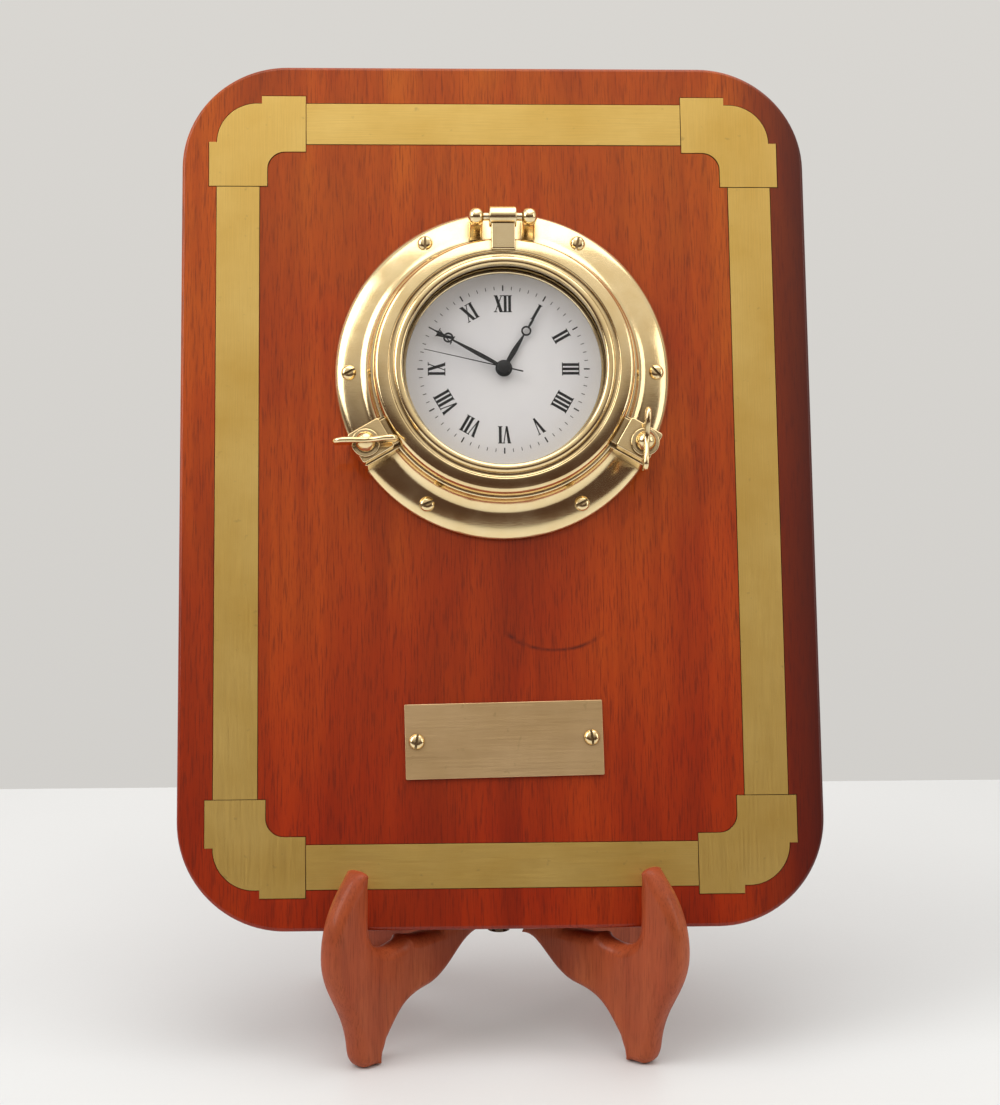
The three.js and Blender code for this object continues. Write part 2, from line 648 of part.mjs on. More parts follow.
/** Dial disc with a centre hole and two feet that press into the movement. */
function dial() {
  const disc = ring(DIAL_RADIUS, ARBOR_HOLE, DIAL_Z, DIAL_Z + DIAL_DEPTH);
  const feet = [-1, 1].map((side) =>
    rod(DIAL_FOOT.radius, MOVEMENT_FRONT - 1.2, DIAL_Z + 0.2, 8, side * DIAL_FOOT.x, DIAL_FOOT.y));
  return carve([disc, ...feet]);
}

/** A hand that points along +y: shank, ring with an open eye, and tapered tip. */
function ringedHand({ eye, tip, tail, width, ring: eyeRadius, hub }, bore) {
  const half = width / 2;
  const shank = new THREE.Shape();
  shank.moveTo(-half, -tail);
  shank.lineTo(half, -tail);
  shank.lineTo(half * 0.8, eye);
  shank.lineTo(-half * 0.8, eye);
  const point = new THREE.Shape();
  point.moveTo(-half * 0.8, eye);
  point.lineTo(half * 0.8, eye);
  point.lineTo(0.25, tip);
  point.lineTo(-0.25, tip);
  return carve(
    [
      slab(shank, 0, HAND_THICK),
      slab(point, 0, HAND_THICK),
      rod(eyeRadius, 0, HAND_THICK, 14, 0, eye),
      rod(hub, 0, HAND_THICK, SMALL_ROUND),
    ],
    [rod(eyeRadius - 0.8, -1, 1, 12, 0, eye), rod(bore, -1, 1, 14)],
  );
}

function secondHand() {
  const { tip, tail, width, hub } = SECOND_HAND;
  const needle = rectangle(-width / 2, width / 2, -tail, tip);
  return carve([slab(needle, 0, 0.4), rod(hub, 0, 0.6, SMALL_ROUND)]);
}

/** Outline of a small moulded gear with pointed teeth; phase is where one tooth points. */
function gearOutline(teeth, size, phase, bore) {
  const pitch = teeth * size / 2;
  const tip = pitch + 0.6 * size;
  const root = pitch - 0.95 * size;
  const points = [];
  for (let i = 0; i < teeth; i += 1) {
    const middle = phase + i * 2 * Math.PI / teeth;
    points.push(polar(tip, middle), polar(root, middle + Math.PI / teeth));
  }
  const shape = new THREE.Shape(points.map(({ x, y }) => new THREE.Vector2(x, y)));
  if (bore > 0) {
    const hole = new THREE.Path();
    hole.absarc(0, 0, bore, 0, 360 * DEG, true);
    shape.holes.push(hole);
  }
  return shape;
}

/** Where a tooth of the second gear points, so that it meshes with the first. */
function meshPhase(from, to, teethFrom, phaseFrom, teethTo) {
  const direction = Math.atan2(to.y - from.y, to.x - from.x);
  return direction + Math.PI - Math.PI / teethTo - (phaseFrom - direction) * teethFrom / teethTo;
}

/** Builds one gear of a pair; the pair's distance gives the size of its teeth. */
function gear(pair, role, phase, low, high, bore = 0) {
  const size = 2 * pair.distance / (pair.driver + pair.driven);
  return slab(gearOutline(pair[role], size, phase, bore), low, high, 3);
}

/** Phase of the driven gear of a pair, when the driver's phase is zero. */
function drivenPhase(pair, from, to) {
  return meshPhase(from, to, pair.driver, 0, pair.driven);
}

function placed(mesh, { x, y }) {
  mesh.position.set(x, y, 0);
  return mesh;
}

const MIDDLE = { x: 0, y: 0 };

function rotor() {
  return carve([
    rod(ARBOR_RADIUS, -9.2, -1.2, 10),
    gear(ROTOR_PAIR, 'driver', 0, -8.8, -6.4),
    rod(3, -5.6, -3.2, 16),
  ]);
}

function intermediateWheel() {
  const wheelPhase = drivenPhase(ROTOR_PAIR, ROTOR_ARBOR, INTERMEDIATE_ARBOR);
  return carve([
    rod(ARBOR_RADIUS, -9.2, -5.3, 10),
    gear(ROTOR_PAIR, 'driven', wheelPhase, -8.4, -7.4),
    gear(SECONDS_PAIR, 'driver', 0, -7.4, -5.6),
  ]);
}

function secondsWheel() {
  const wheelPhase = drivenPhase(SECONDS_PAIR, INTERMEDIATE_ARBOR, MIDDLE);
  return carve([
    rod(ARBOR_RADIUS, -8.6, SECOND_HAND_Z - GAP, 10),
    gear(SECONDS_PAIR, 'driven', wheelPhase, -7, -6.2),
    gear(THIRD_PAIR, 'driver', 0, -6.2, -3.6),
  ]);
}

function thirdWheel() {
  const wheelPhase = drivenPhase(THIRD_PAIR, MIDDLE, THIRD_ARBOR);
  return carve([
    rod(ARBOR_RADIUS, -8.6, 3.2, 10),
    gear(THIRD_PAIR, 'driven', wheelPhase, -5, -4.2),
    gear(CENTRE_PAIR, 'driver', 0, -4.2, -0.4),
  ]);
}

/** Centre wheel with the cannon pinion that carries the minute hand. */
function centreWheel() {
  const bore = ARBOR_RADIUS + GAP;
  const wheelPhase = drivenPhase(CENTRE_PAIR, THIRD_ARBOR, MIDDLE);
  return carve([
    ring(MINUTE_TUBE_RADIUS, bore, -2.2, MINUTE_HAND_Z + HAND_THICK, 14),
    gear(CENTRE_PAIR, 'driven', wheelPhase, -1.8, -1, bore),
    gear(MINUTE_PAIR, 'driver', 0, -1, 0.8, bore),
  ]);
}

function minuteWheel() {
  const wheelPhase = drivenPhase(MINUTE_PAIR, MIDDLE, MINUTE_ARBOR);
  return carve([
    rod(ARBOR_RADIUS, -0.9, 4, 10),
    gear(MINUTE_PAIR, 'driven', wheelPhase, -0.6, 0.4),
    gear(HOUR_PAIR, 'driver', 0, 0.4, 2.8),
  ]);
}

function hourWheel() {
  const bore = MINUTE_TUBE_RADIUS + GAP;
  const wheelPhase = drivenPhase(HOUR_PAIR, MINUTE_ARBOR, MIDDLE);
  return carve([
    ring(HOUR_TUBE_RADIUS, bore, 1.2, HOUR_HAND_Z + HAND_THICK, SMALL_ROUND),
    gear(HOUR_PAIR, 'driven', wheelPhase, 1.4, 2.4, bore),
  ]);
}

/** Knob at the back that turns the minute wheel to set the hands. */
function settingKnob() {
  const wheelPhase = drivenPhase(MINUTE_PAIR, MIDDLE, MINUTE_ARBOR);
  const phase = meshPhase(MINUTE_ARBOR, KNOB_ARBOR, MINUTE_PAIR.driven, wheelPhase, MINUTE_PAIR.driver);
  const back = MOVEMENT_BACK - GAP - COVER_DEPTH;
  return carve([
    gear(MINUTE_PAIR, 'driver', phase, -0.6, 0.6),
    rod(1.2, back - 1.2, -0.6, 12),
    rod(4.6, back - 3.4, back - 0.6, 20),
  ]);
}

function gearTrain() {
  const group = new THREE.Group();
  group.add(placed(node('rotor', rotor(), steel()), ROTOR_ARBOR));
  group.add(placed(node('intermediate_wheel', intermediateWheel(), whitePlastic()), INTERMEDIATE_ARBOR));
  group.add(node('seconds_wheel', secondsWheel(), whitePlastic()));
  group.add(placed(node('third_wheel', thirdWheel(), whitePlastic()), THIRD_ARBOR));
  group.add(node('centre_wheel', centreWheel(), whitePlastic()));
  group.add(placed(node('minute_wheel', minuteWheel(), whitePlastic()), MINUTE_ARBOR));
  group.add(node('hour_wheel', hourWheel(), whitePlastic()));
  group.add(placed(node('setting_knob', settingKnob(), whitePlastic()), KNOB_ARBOR));
  return group;
}

/** Front shell of the movement: a shallow box, open at the back. */
function movementCase() {
  const outer = slab(roundedRectangle(MOVEMENT_SIZE, MOVEMENT_SIZE, 4), MOVEMENT_BACK, MOVEMENT_FRONT, 3);
  const inside = MOVEMENT_SIZE - 2 * MOVEMENT_WALL;
  const roof = MOVEMENT_FRONT - MOVEMENT_WALL;
  const hollow = slab(roundedRectangle(inside, inside, 3), MOVEMENT_BACK - 1, roof, 3);
  const footHoles = [-1, 1].map((side) =>
    rod(DIAL_FOOT.radius + GAP, 0, MOVEMENT_FRONT + 1, 8, side * DIAL_FOOT.x, DIAL_FOOT.y));
  return carve([outer], [hollow, rod(ARBOR_HOLE, 0, MOVEMENT_FRONT + 1, SMALL_ROUND), ...footHoles]);
}

/** Back cover with a battery opening and a hole for the setting knob. */
function movementBackCover() {
  const front = MOVEMENT_BACK - GAP;
  const plate = slab(roundedRectangle(MOVEMENT_SIZE, MOVEMENT_SIZE, 4), front - COVER_DEPTH, front, 3);
  const half = BATTERY_LENGTH / 2 + 1;
  const opening = block(-half, half, BATTERY_Y - 5.5, BATTERY_Y + 5.5, front - 5, front + 1);
  const { x, y } = KNOB_ARBOR;
  return carve([plate], [opening, rod(1.6, front - 5, front + 1, 12, x, y)]);
}

function battery() {
  const end = BATTERY_LENGTH / 2;
  const body = crossRod(BATTERY_RADIUS, -end, end - 1.2, BATTERY_Y, BATTERY_Z, 24);
  const nub = crossRod(2.6, 0, end, BATTERY_Y, BATTERY_Z, 12);
  return carve([body, nub]);
}

/** A sprung contact blade that stands against one end of the battery. */
function contact(side) {
  const face = side * (BATTERY_LENGTH / 2 + GAP);
  const wall = side * (MOVEMENT_SIZE / 2 - MOVEMENT_WALL - GAP);
  const x = [face, wall].sort((a, b) => a - b);
  return block(x[0], x[1], BATTERY_Y - 4, BATTERY_Y + 4, BATTERY_Z - 5, BATTERY_Z + 5);
}

function stator() {
  const { x, y } = ROTOR_ARBOR;
  const plate = rectangle(x - 4.6, x + 11, y - 5.5, y + 5.5);
  const hole = new THREE.Path();
  hole.absarc(x, y, 3.6, 0, 360 * DEG, true);
  plate.holes.push(hole);
  return slab(plate, -4.9, -4.1, 5);
}

function coil() {
  const x = ROTOR_ARBOR.x + 8;
  const low = -8;
  const high = 15;
  const winding = new THREE.CylinderGeometry(2.6, 2.6, high - low - 3, 16);
  const flange = (y) => new THREE.CylinderGeometry(3.4, 3.4, 1, 16).translate(0, y, 0);
  const half = (high - low) / 2;
  const body = carve([winding, flange(half - 1.6), flange(-half + 1.6)]);
  return body.translate(x, (low + high) / 2, 0);
}

function circuitBoard() {
  return block(-25, -1.5, -9.5, -2, -9.6, -8.8);
}

function insertPieces() {
  const group = new THREE.Group();
  group.position.set(CLOCK_X, CLOCK_Y, INSERT_Z);
  group.add(node('insert_case', insertCase(), satinBrass()));
  group.add(node('insert_bezel', insertBezel(), polishedBrass()));
  group.add(node('dial', dial(), whitePaint()));
  const hour = node('hour_hand', ringedHand(HOUR_HAND, HOUR_TUBE_RADIUS + GAP), blackPaint());
  hour.position.z = HOUR_HAND_Z;
  hour.rotation.z = -HOUR_HAND.angle;
  const minute = node('minute_hand', ringedHand(MINUTE_HAND, MINUTE_TUBE_RADIUS + GAP), blackPaint());
  minute.position.z = MINUTE_HAND_Z;
  minute.rotation.z = -MINUTE_HAND.angle;
  const second = node('second_hand', secondHand(), blackPaint());
  second.position.z = SECOND_HAND_Z;
  second.rotation.z = -SECOND_HAND.angle;
  group.add(hour, minute, second, gearTrain());
  group.add(node('movement_case', movementCase(), greyPlastic()));
  group.add(node('movement_back_cover', movementBackCover(), greyPlastic()));
  group.add(node('battery', battery(), steel()));
  group.add(node('contact_positive', contact(1), steel()));
  group.add(node('contact_negative', contact(-1), steel()));
  group.add(node('circuit_board', circuitBoard(), greenBoard()));
  group.add(node('coil', coil(), copper()));
  group.add(node('stator', stator(), steel()));
  return group;
}

/* ---------------------------------------------------------------- stand */

/** Side outline of a leaf, with s forward as x and height as y. */
function leafOutline() {
  const slope = Math.tan(BOARD_LEAN) / Math.cos(LEAF_TURN);
  const frontEdge = (z) => 36.4 - (z - 51.5) * slope;
  // The rear half lies nearer the board by its thickness, so its edge stands further back.
  const rearEdge = (z) => frontEdge(z) - LEAF_THICK * Math.tan(LEAF_TURN);
  const shape = new THREE.Shape();
  shape.moveTo(74, 0);
  shape.lineTo(81, 0);
  shape.quadraticCurveTo(85.8, 1, 86.6, 8);
  shape.bezierCurveTo(88.5, 27, 99.5, 33, 101, 49);
  shape.bezierCurveTo(102, 66, 93, 79, 84.5, 86);
  shape.quadraticCurveTo(80, 88.5, 79.2, 83);
  shape.bezierCurveTo(78.4, 72, 79.6, 66, 78.8, 59);
  shape.bezierCurveTo(77, 52, 71, 49.8, 66, 49.8);
  shape.quadraticCurveTo(60, 50.2, 55.5, 52.6);
  shape.lineTo(48.8, 51.1);
  shape.lineTo(36.6, 51.1);
  shape.lineTo(frontEdge(92), 92);
  shape.quadraticCurveTo(frontEdge(102), 102, 0, 102);
  shape.lineTo(rearEdge(104), 104);
  shape.lineTo(rearEdge(152), 152);
  shape.quadraticCurveTo(rearEdge(163), 163, -31, 163);
  shape.quadraticCurveTo(-35, 162, -36, 153);
  shape.bezierCurveTo(-38, 112, -56, 64, -80, 43);
  shape.bezierCurveTo(-95, 31, -99, 16, -97, 6);
  shape.quadraticCurveTo(-95.5, 1, -92, 0);
  shape.lineTo(-84, 0);
  shape.quadraticCurveTo(-78, 1, -75, 7);
  shape.bezierCurveTo(-66, 22, -60, 25, -48, 26.5);
  shape.bezierCurveTo(-32, 29, -26, 43, -12, 44.5);
  shape.quadraticCurveTo(-4, ARCH_TOP, 0, ARCH_TOP);
  shape.quadraticCurveTo(4, ARCH_TOP, 12, 44.5);
  shape.bezierCurveTo(24, 43, 29, 29, 44, 26.8);
  shape.bezierCurveTo(58, 25, 61, 20, 68.5, 10);
  shape.quadraticCurveTo(71, 3, 74, 0);
  return shape;
}

/**
 * One leaf. Its front half lies on one side of the pivot and its rear half on the other, so
 * that the two leaves fold flat against each other. side is -1 for the left leaf, whose
 * knuckle is the lower one, and 1 for the right leaf, whose knuckle is the upper one.
 */
function standLeaf(side) {
  const reach = 130;
  const height = 180;
  const standing = (low, high) => slab(leafOutline(), low, high, 5)
    .rotateX(90 * DEG)
    .rotateZ(-90 * DEG);
  // After the turns s runs along -y, height along z and the slab's depth along x.
  const outward = side < 0 ? [-LEAF_THICK, -GAP / 2] : [GAP / 2, LEAF_THICK];
  const inward = side < 0 ? [GAP / 2, LEAF_THICK] : [-LEAF_THICK, -GAP / 2];
  const whole = standing(-LEAF_THICK, LEAF_THICK);
  const front = common(whole, block(...outward, -reach, 0.01, -1, height));
  const rear = common(whole, block(...inward, -0.01, reach, -1, height));
  const isLower = side < 0;
  const knuckle = isLower
    ? rod(STAND_KNUCKLE_RADIUS, ARCH_TOP + 0.5, KNUCKLE_SPLIT_Z - GAP / 2, 24)
    : rod(STAND_KNUCKLE_RADIUS, KNUCKLE_SPLIT_Z + GAP / 2, STAND_KNUCKLE_TOP, 24);
  const relief = isLower
    ? block(-20, 20, -CROSSING_RELIEF, CROSSING_RELIEF, KNUCKLE_SPLIT_Z - GAP / 2, height)
    : block(-20, 20, -CROSSING_RELIEF, CROSSING_RELIEF, 0, KNUCKLE_SPLIT_Z + GAP / 2);
  const pinHole = rod(STAND_PIN_RADIUS + GAP, 30, STAND_PIN_TOP + GAP, 16);
  const halves = carve([front, rear], [relief]);
  return carve([halves, knuckle], [pinHole]);
}

function standPin() {
  return carve([
    rod(STAND_PIN_RADIUS, ARCH_TOP - 1, STAND_PIN_TOP, 16),
    rod(5, ARCH_TOP - 3, ARCH_TOP - 0.8, SMALL_ROUND),
  ]);
}

function standPieces() {
  const group = new THREE.Group();
  group.position.y = PIVOT_Y;
  for (const [name, side] of [['left', -1], ['right', 1]]) {
    const leaf = node(`stand_leaf_${name}`, standLeaf(side), standWood());
    leaf.rotation.z = side * LEAF_TURN;
    group.add(leaf);
  }
  group.add(node('stand_pivot_pin', standPin(), polishedBrass()));
  return group;
}

/* ---------------------------------------------------------------- the whole clock */

function leaningPlaque() {
  const group = new THREE.Group();
  group.add(plaquePieces(), portholePieces(), insertPieces());
  group.rotation.x = 90 * DEG - BOARD_LEAN;
  group.position.y = BOARD_HEIGHT / 2 * Math.sin(BOARD_LEAN);
  group.position.z = BOARD_FOOT_Z + BOARD_HEIGHT / 2 * Math.cos(BOARD_LEAN);
  return group;
}

const clock = new THREE.Group();
clock.add(leaningPlaque(), standPieces());
clock.updateMatrixWorld(true);
const bounds = new THREE.Box3().setFromObject(clock, true);
clock.position.y = -(bounds.min.y + bounds.max.y) / 2;
clock.updateMatrixWorld(true);

export default clock;
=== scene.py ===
"""Looks of the ship's deck clock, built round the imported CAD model.

Pieces are drawn in millimetres in the frame of the part that they belong to (plaque, porthole
or stand leaf) and placed by that frame. The scene is in metres, +Z up, and the clock faces -Y.
"""
import json
import math

import bmesh
import bpy
import numpy as np
from mathutils import Matrix, Vector


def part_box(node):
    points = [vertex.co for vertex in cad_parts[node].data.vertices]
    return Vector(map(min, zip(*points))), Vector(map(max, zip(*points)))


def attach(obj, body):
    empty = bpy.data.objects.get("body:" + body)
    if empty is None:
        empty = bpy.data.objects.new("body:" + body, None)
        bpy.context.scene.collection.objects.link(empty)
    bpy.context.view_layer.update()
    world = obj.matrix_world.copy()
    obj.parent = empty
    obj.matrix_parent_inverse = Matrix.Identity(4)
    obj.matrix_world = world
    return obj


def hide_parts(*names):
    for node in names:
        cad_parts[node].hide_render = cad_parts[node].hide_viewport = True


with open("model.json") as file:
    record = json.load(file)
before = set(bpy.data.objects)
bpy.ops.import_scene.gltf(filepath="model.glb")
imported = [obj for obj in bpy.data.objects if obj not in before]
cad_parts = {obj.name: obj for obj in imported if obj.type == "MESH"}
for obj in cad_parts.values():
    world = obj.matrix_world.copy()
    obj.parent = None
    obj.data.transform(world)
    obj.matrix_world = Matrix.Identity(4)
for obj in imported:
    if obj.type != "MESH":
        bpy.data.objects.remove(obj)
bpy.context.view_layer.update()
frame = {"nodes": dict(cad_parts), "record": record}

MM = 0.001
NODES = frame["nodes"]

# Plaque: x to the right, y up the board, z out of its front face
LEAN = math.radians(18)
BOARD_WIDTH = 280
BOARD_HEIGHT = 386
BOARD_DEPTH = 20
BOARD_CORNER = 47
BOARD_EDGE = 1.7
CLOCK_HOLE_RADIUS = 45.8
CLOCK_X = 2.4
CLOCK_Y = 50

# Inlay
INLAY_WIDTH = 19
INLAY_DEPTH = 1.2
INLAY_PROUD = 0.1
POCKET_DEPTH = 1.5
POCKET_GAP = 0.3
INLAY_X = 115
INLAY_Y = 166
CORNER_LEG_X = 84.8
CORNER_LEG_Y = 137
CORNER_LIP = 3.5
CORNER_OUTER_RADIUS = 18
CORNER_INNER_RADIUS = 8

# Knot in the wood, in metres on the plaque
KNOT_PLACE = (0.024, -0.061)
KNOT_RADII = (0.022, 0.012)
KNOT_LINE = 0.09

# Name plate
PLATE_WIDTH = 86
PLATE_HEIGHT = 32.5
PLATE_LOW = 0.3
PLATE_HIGH = 1.5
PLATE_X = 1.2
PLATE_Y = -112
PLATE_TURN = math.radians(1)
PLATE_SCREW_X = 38

# Screws
SCREW_HEAD_RADIUS = 3.4
SCREW_HEAD_HEIGHT = 2
SCREW_SKIRT = 0.9
SCREW_SLOT_HALF = 0.55
SCREW_SLOT_FLOOR = 0.6
FLANGE_SCREW_RADIUS = 68
FLANGE_SCREW_Z = 5.3
FLANGE_SLOT_TURNS = (78, 130, 30, 22, 28, 90)
PLATE_SLOT_TURNS = {"left": 80, "right": 97}

# Porthole
FLANGE_RADIUS = 74.2
NECK_RADIUS = 58.4
NECK_TOP = 15.4
BORE_RADIUS = 45.4
SEAT_RADIUS = 46.9
SEAT_Z = 11
DOOR_RADIUS = 57.5
DOOR_BACK = 15.7
DOOR_CREST = 23.7
DOOR_OPENING = 44.4
REBATE_RADIUS = 49.6
REBATE_Z = 20.2
HINGE_Y = 67
HINGE_Z = 19.6
KNUCKLE_RADIUS = 4.6
KNUCKLE_HALF = 6
STRAP_HALF = 5.2
STRAP_END = 51
LUG_MIDDLE = 11.7
LUG_HALF = 3.5
LUG_RADIUS = 3.9
PIN_RADIUS = 1.8
PIN_HALF = 15
CLAMP_RADIUS = 70
CLAMP_ANGLE = 120
CLAMP_DOOR_HALF = 7.3
CLAMP_BASE_HALF = 8
CLAMP_DOOR_TOP = 21.6
WASHER_Z = 21.9
WASHER_RADIUS = 6.2
WASHER_DEPTH = 1.4
THUMB_Z = WASHER_Z + WASHER_DEPTH
WING_HALF = 14.2
WING_THICK = 2.4
WING_HEIGHT = 9
WING_TURNS = {"left": 3, "right": 86}

# Dial and hands; angles run clockwise from twelve, in degrees
BEZEL_LOW = 12.6
BEZEL_OPENING = 43
BEZEL_RADIUS = 46.5
DIAL_FRONT = 12.1
PRINT_DEPTH = 0.03
NUMERAL_RADIUS = 29.5
NUMERAL_HEIGHT = 7.7
TICK_RADIUS = 36.6
HOUR_ANGLE = 31
MINUTE_ANGLE = 299
SECOND_ANGLE = 283
HOUR_Z = 13.4
MINUTE_Z = 14.7
SECOND_Z = 15.9
HAND_THICK = 0.5

# Stand leaf: x forward from the pivot, y up, z sideways
LEAF_THICK = 12
LEAF_HALF_GAP = 0.15
LEAF_TURN = 45
LEAF_EDGE = 5
LEAF_EDGE_STEP = 2.5

# Rounded edges. The room of each point is found in even steps; the lag is just over one step.
ROOM_STEPS = 8
ROOM_LAG = 0.126
ROOM_CLEARANCE = 0.96
ROOM_SLOPE = 0.8
ROOM_SHRINK = 0.75
ROOM_TRIES = 80

# Edges sharper than this, in degrees, stay sharp when shaded, or get a bevel on a CAD piece
SHARP_ANGLE = 32
BEVEL_ANGLE = 40

# Meshes: points this close are one point, and how far a mitre may reach
SAME_POINT = 1e-4
MERGE_DISTANCE = 1e-5
MITRE_LIMIT = 0.35

# Crossing of the leaves
KNUCKLE_SPLIT = 75
STAND_KNUCKLE_RADIUS = 10
STAND_KNUCKLE_TOP = 97
ARCH_TOP = 46
CROSSING_RELIEF = 13

# Camera and room
CAMERA_PLACE = (-0.0488, -1.0233, 0.3766)
CAMERA_AZIMUTH = 2.765
CAMERA_PITCH = -9.12
CAMERA_ROLL = 0.16
CAMERA_LENS = 76.56
TABLE_BACK_Y = 0.405
TABLE_FRONT_Y = -2.5
TABLE_HALF_WIDTH = 2
TABLE_THICK = 0.03
SENSOR_WIDTH = 36


# ---- outlines


class Outline:
    """A line drawn point by point, as (x, y) in millimetres."""

    def __init__(self, x, y):
        self.points = [(x, y)]

    def line(self, *corners):
        """Straight on through these points."""
        self.points += corners

    def bend(self, cx, cy, x, y, steps=12):
        """A curve pulled towards one control point."""
        x0, y0 = self.points[-1]
        for i in range(1, steps + 1):
            t = i / steps
            a, b, c = (1 - t) ** 2, 2 * t * (1 - t), t * t
            self.points.append((a * x0 + b * cx + c * x, a * y0 + b * cy + c * y))

    def sweep(self, ax, ay, bx, by, x, y, steps=20):
        """A curve pulled towards two control points."""
        x0, y0 = self.points[-1]
        for i in range(1, steps + 1):
            t = i / steps
            a, b, c, d = (1 - t) ** 3, 3 * t * (1 - t) ** 2, 3 * t * t * (1 - t), t**3
            self.points.append((a * x0 + b * ax + c * bx + d * x, a * y0 + b * ay + c * by + d * y))

    def arc(self, cx, cy, radius, start, end, steps=16):
        for i in range(steps + 1):
            angle = math.radians(start + (end - start) * i / steps)
            self.points.append((cx + radius * math.cos(angle), cy + radius * math.sin(angle)))


def clean(points):
    """Drops repeated points and makes the outline run anticlockwise."""
    kept = []
    for p in points:
        if not kept or math.dist(p, kept[-1]) > SAME_POINT:
            kept.append(p)
    if math.dist(kept[0], kept[-1]) <= SAME_POINT:
        kept.pop()
    pairs = zip(kept, kept[1:] + kept[:1])
    area = sum(a[0] * b[1] - b[0] * a[1] for a, b in pairs)
    return kept if area > 0 else kept[::-1]


def rectangle(x0, x1, y0, y1):
    return [(x0, y0), (x1, y0), (x1, y1), (x0, y1)]


def rounded_rectangle(x0, x1, y0, y1, radius, steps=8):
    outline = Outline(x0 + radius, y0)
    middles = rectangle(x0 + radius, x1 - radius, y0 + radius, y1 - radius)
    for i, (x, y) in enumerate(middles[1:] + middles[:1]):
        outline.arc(x, y, radius, 90 * i - 90, 90 * i, steps)
    return clean(outline.points)


def corner_outline(grow=0.0):
    """One corner piece of the inlay, for the quarter with positive x and y."""
    half = INLAY_WIDTH / 2
    inner_x = INLAY_X - half - CORNER_LIP - grow
    outer_x = INLAY_X + half + CORNER_LIP + grow
    inner_y = INLAY_Y - half - CORNER_LIP - grow
    outer_y = INLAY_Y + half + CORNER_LIP + grow
    step_x = INLAY_X + half + grow
    step_y = INLAY_Y + half + grow
    radius = CORNER_OUTER_RADIUS + grow
    arc_x = step_x - radius
    arc_y = step_y - radius
    inner = CORNER_INNER_RADIUS
    outline = Outline(CORNER_LEG_X - grow, inner_y)
    outline.arc(inner_x - inner, inner_y - inner, inner, 90, 0)
    outline.line((inner_x, CORNER_LEG_Y - grow), (outer_x, CORNER_LEG_Y - grow), (outer_x, arc_y))
    outline.arc(arc_x, arc_y, radius, 0, 90, 24)
    outline.line((arc_x - 2, step_y), (arc_x - 2, outer_y), (CORNER_LEG_X - grow, outer_y))
    return clean(outline.points)


def inlay_outlines(grow=0.0):
    half = INLAY_WIDTH / 2 + grow
    end_x = CORNER_LEG_X - POCKET_GAP + 2 * grow
    end_y = CORNER_LEG_Y - POCKET_GAP + 2 * grow
    pieces = {
        "inlay_strip_top": rectangle(-end_x, end_x, INLAY_Y - half, INLAY_Y + half),
        "inlay_strip_bottom": rectangle(-end_x, end_x, -INLAY_Y - half, -INLAY_Y + half),
        "inlay_strip_left": rectangle(-INLAY_X - half, -INLAY_X + half, -end_y, end_y),
        "inlay_strip_right": rectangle(INLAY_X - half, INLAY_X + half, -end_y, end_y),
    }
    corner = corner_outline(grow)
    for name, sx, sy in (
        ("top_right", 1, 1),
        ("top_left", -1, 1),
        ("bottom_right", 1, -1),
        ("bottom_left", -1, -1),
    ):
        pieces[f"inlay_corner_{name}"] = clean([(x * sx, y * sy) for x, y in corner])
    return pieces


# ---- solids


def solid(vertices, faces):
    """A loose mesh object in millimetres, with its faces turned outward."""
    mesh = bpy.data.meshes.new("solid")
    mesh.from_pydata([tuple(v) for v in vertices], [], faces)
    work = bmesh.new()
    work.from_mesh(mesh)
    bmesh.ops.remove_doubles(work, verts=work.verts, dist=MERGE_DISTANCE)
    bmesh.ops.recalc_face_normals(work, faces=work.faces)
    work.to_mesh(mesh)
    work.free()
    made = bpy.data.objects.new("solid", mesh)
    bpy.context.scene.collection.objects.link(made)
    return made


def stacked(loops, close_ends=True):
    """Skins a stack of loops that all have the same number of points."""
    count = len(loops[0])
    vertices = [v for loop in loops for v in loop]
    faces = []
    for level in range(len(loops) - 1):
        for i in range(count):
            j = (i + 1) % count
            low = level * count
            faces.append((low + i, low + j, low + count + j, low + count + i))
    if close_ends:
        faces.append(tuple(range(count))[::-1])
        last = (len(loops) - 1) * count
        faces.append(tuple(range(last, last + count)))
    return solid(vertices, faces)


def inward(points):
    """Unit direction into the outline at each point, and how much further a mitre has to go."""
    here = np.array(points)
    after = np.roll(here, -1, axis=0) - here
    after /= np.linalg.norm(after, axis=1)[:, None]
    before = np.roll(after, 1, axis=0)
    turned_left = np.stack([-after[:, 1], after[:, 0]], axis=1)
    turned_before = np.stack([-before[:, 1], before[:, 0]], axis=1)
    middle = turned_left + turned_before
    middle /= np.maximum(np.linalg.norm(middle, axis=1), 1e-6)[:, None]
    stretch = 1 / np.maximum((middle * turned_left).sum(axis=1), MITRE_LIMIT)
    return middle, stretch


def distance_to_outline(queries, points):
    """Least distance from each query point to the closed outline."""
    a = np.array(points)
    b = np.roll(a, -1, axis=0)
    along = b - a
    length = np.maximum((along**2).sum(axis=1), 1e-12)
    offset = queries[:, None, :] - a[None]
    t = np.clip((offset * along[None]).sum(axis=2) / length[None], 0, 1)
    nearest = a[None] + t[..., None] * along[None]
    return np.linalg.norm(queries[:, None, :] - nearest, axis=2).min(axis=1)


def spaced(points, longest):
    """The same outline with its long edges split, so that the rounding runs evenly along them."""
    result = []
    for i, a in enumerate(points):
        b = points[(i + 1) % len(points)]
        parts = max(1, math.ceil(math.dist(a, b) / longest))
        for k in range(parts):
            result.append((a[0] + (b[0] - a[0]) * k / parts, a[1] + (b[1] - a[1]) * k / parts))
    return result


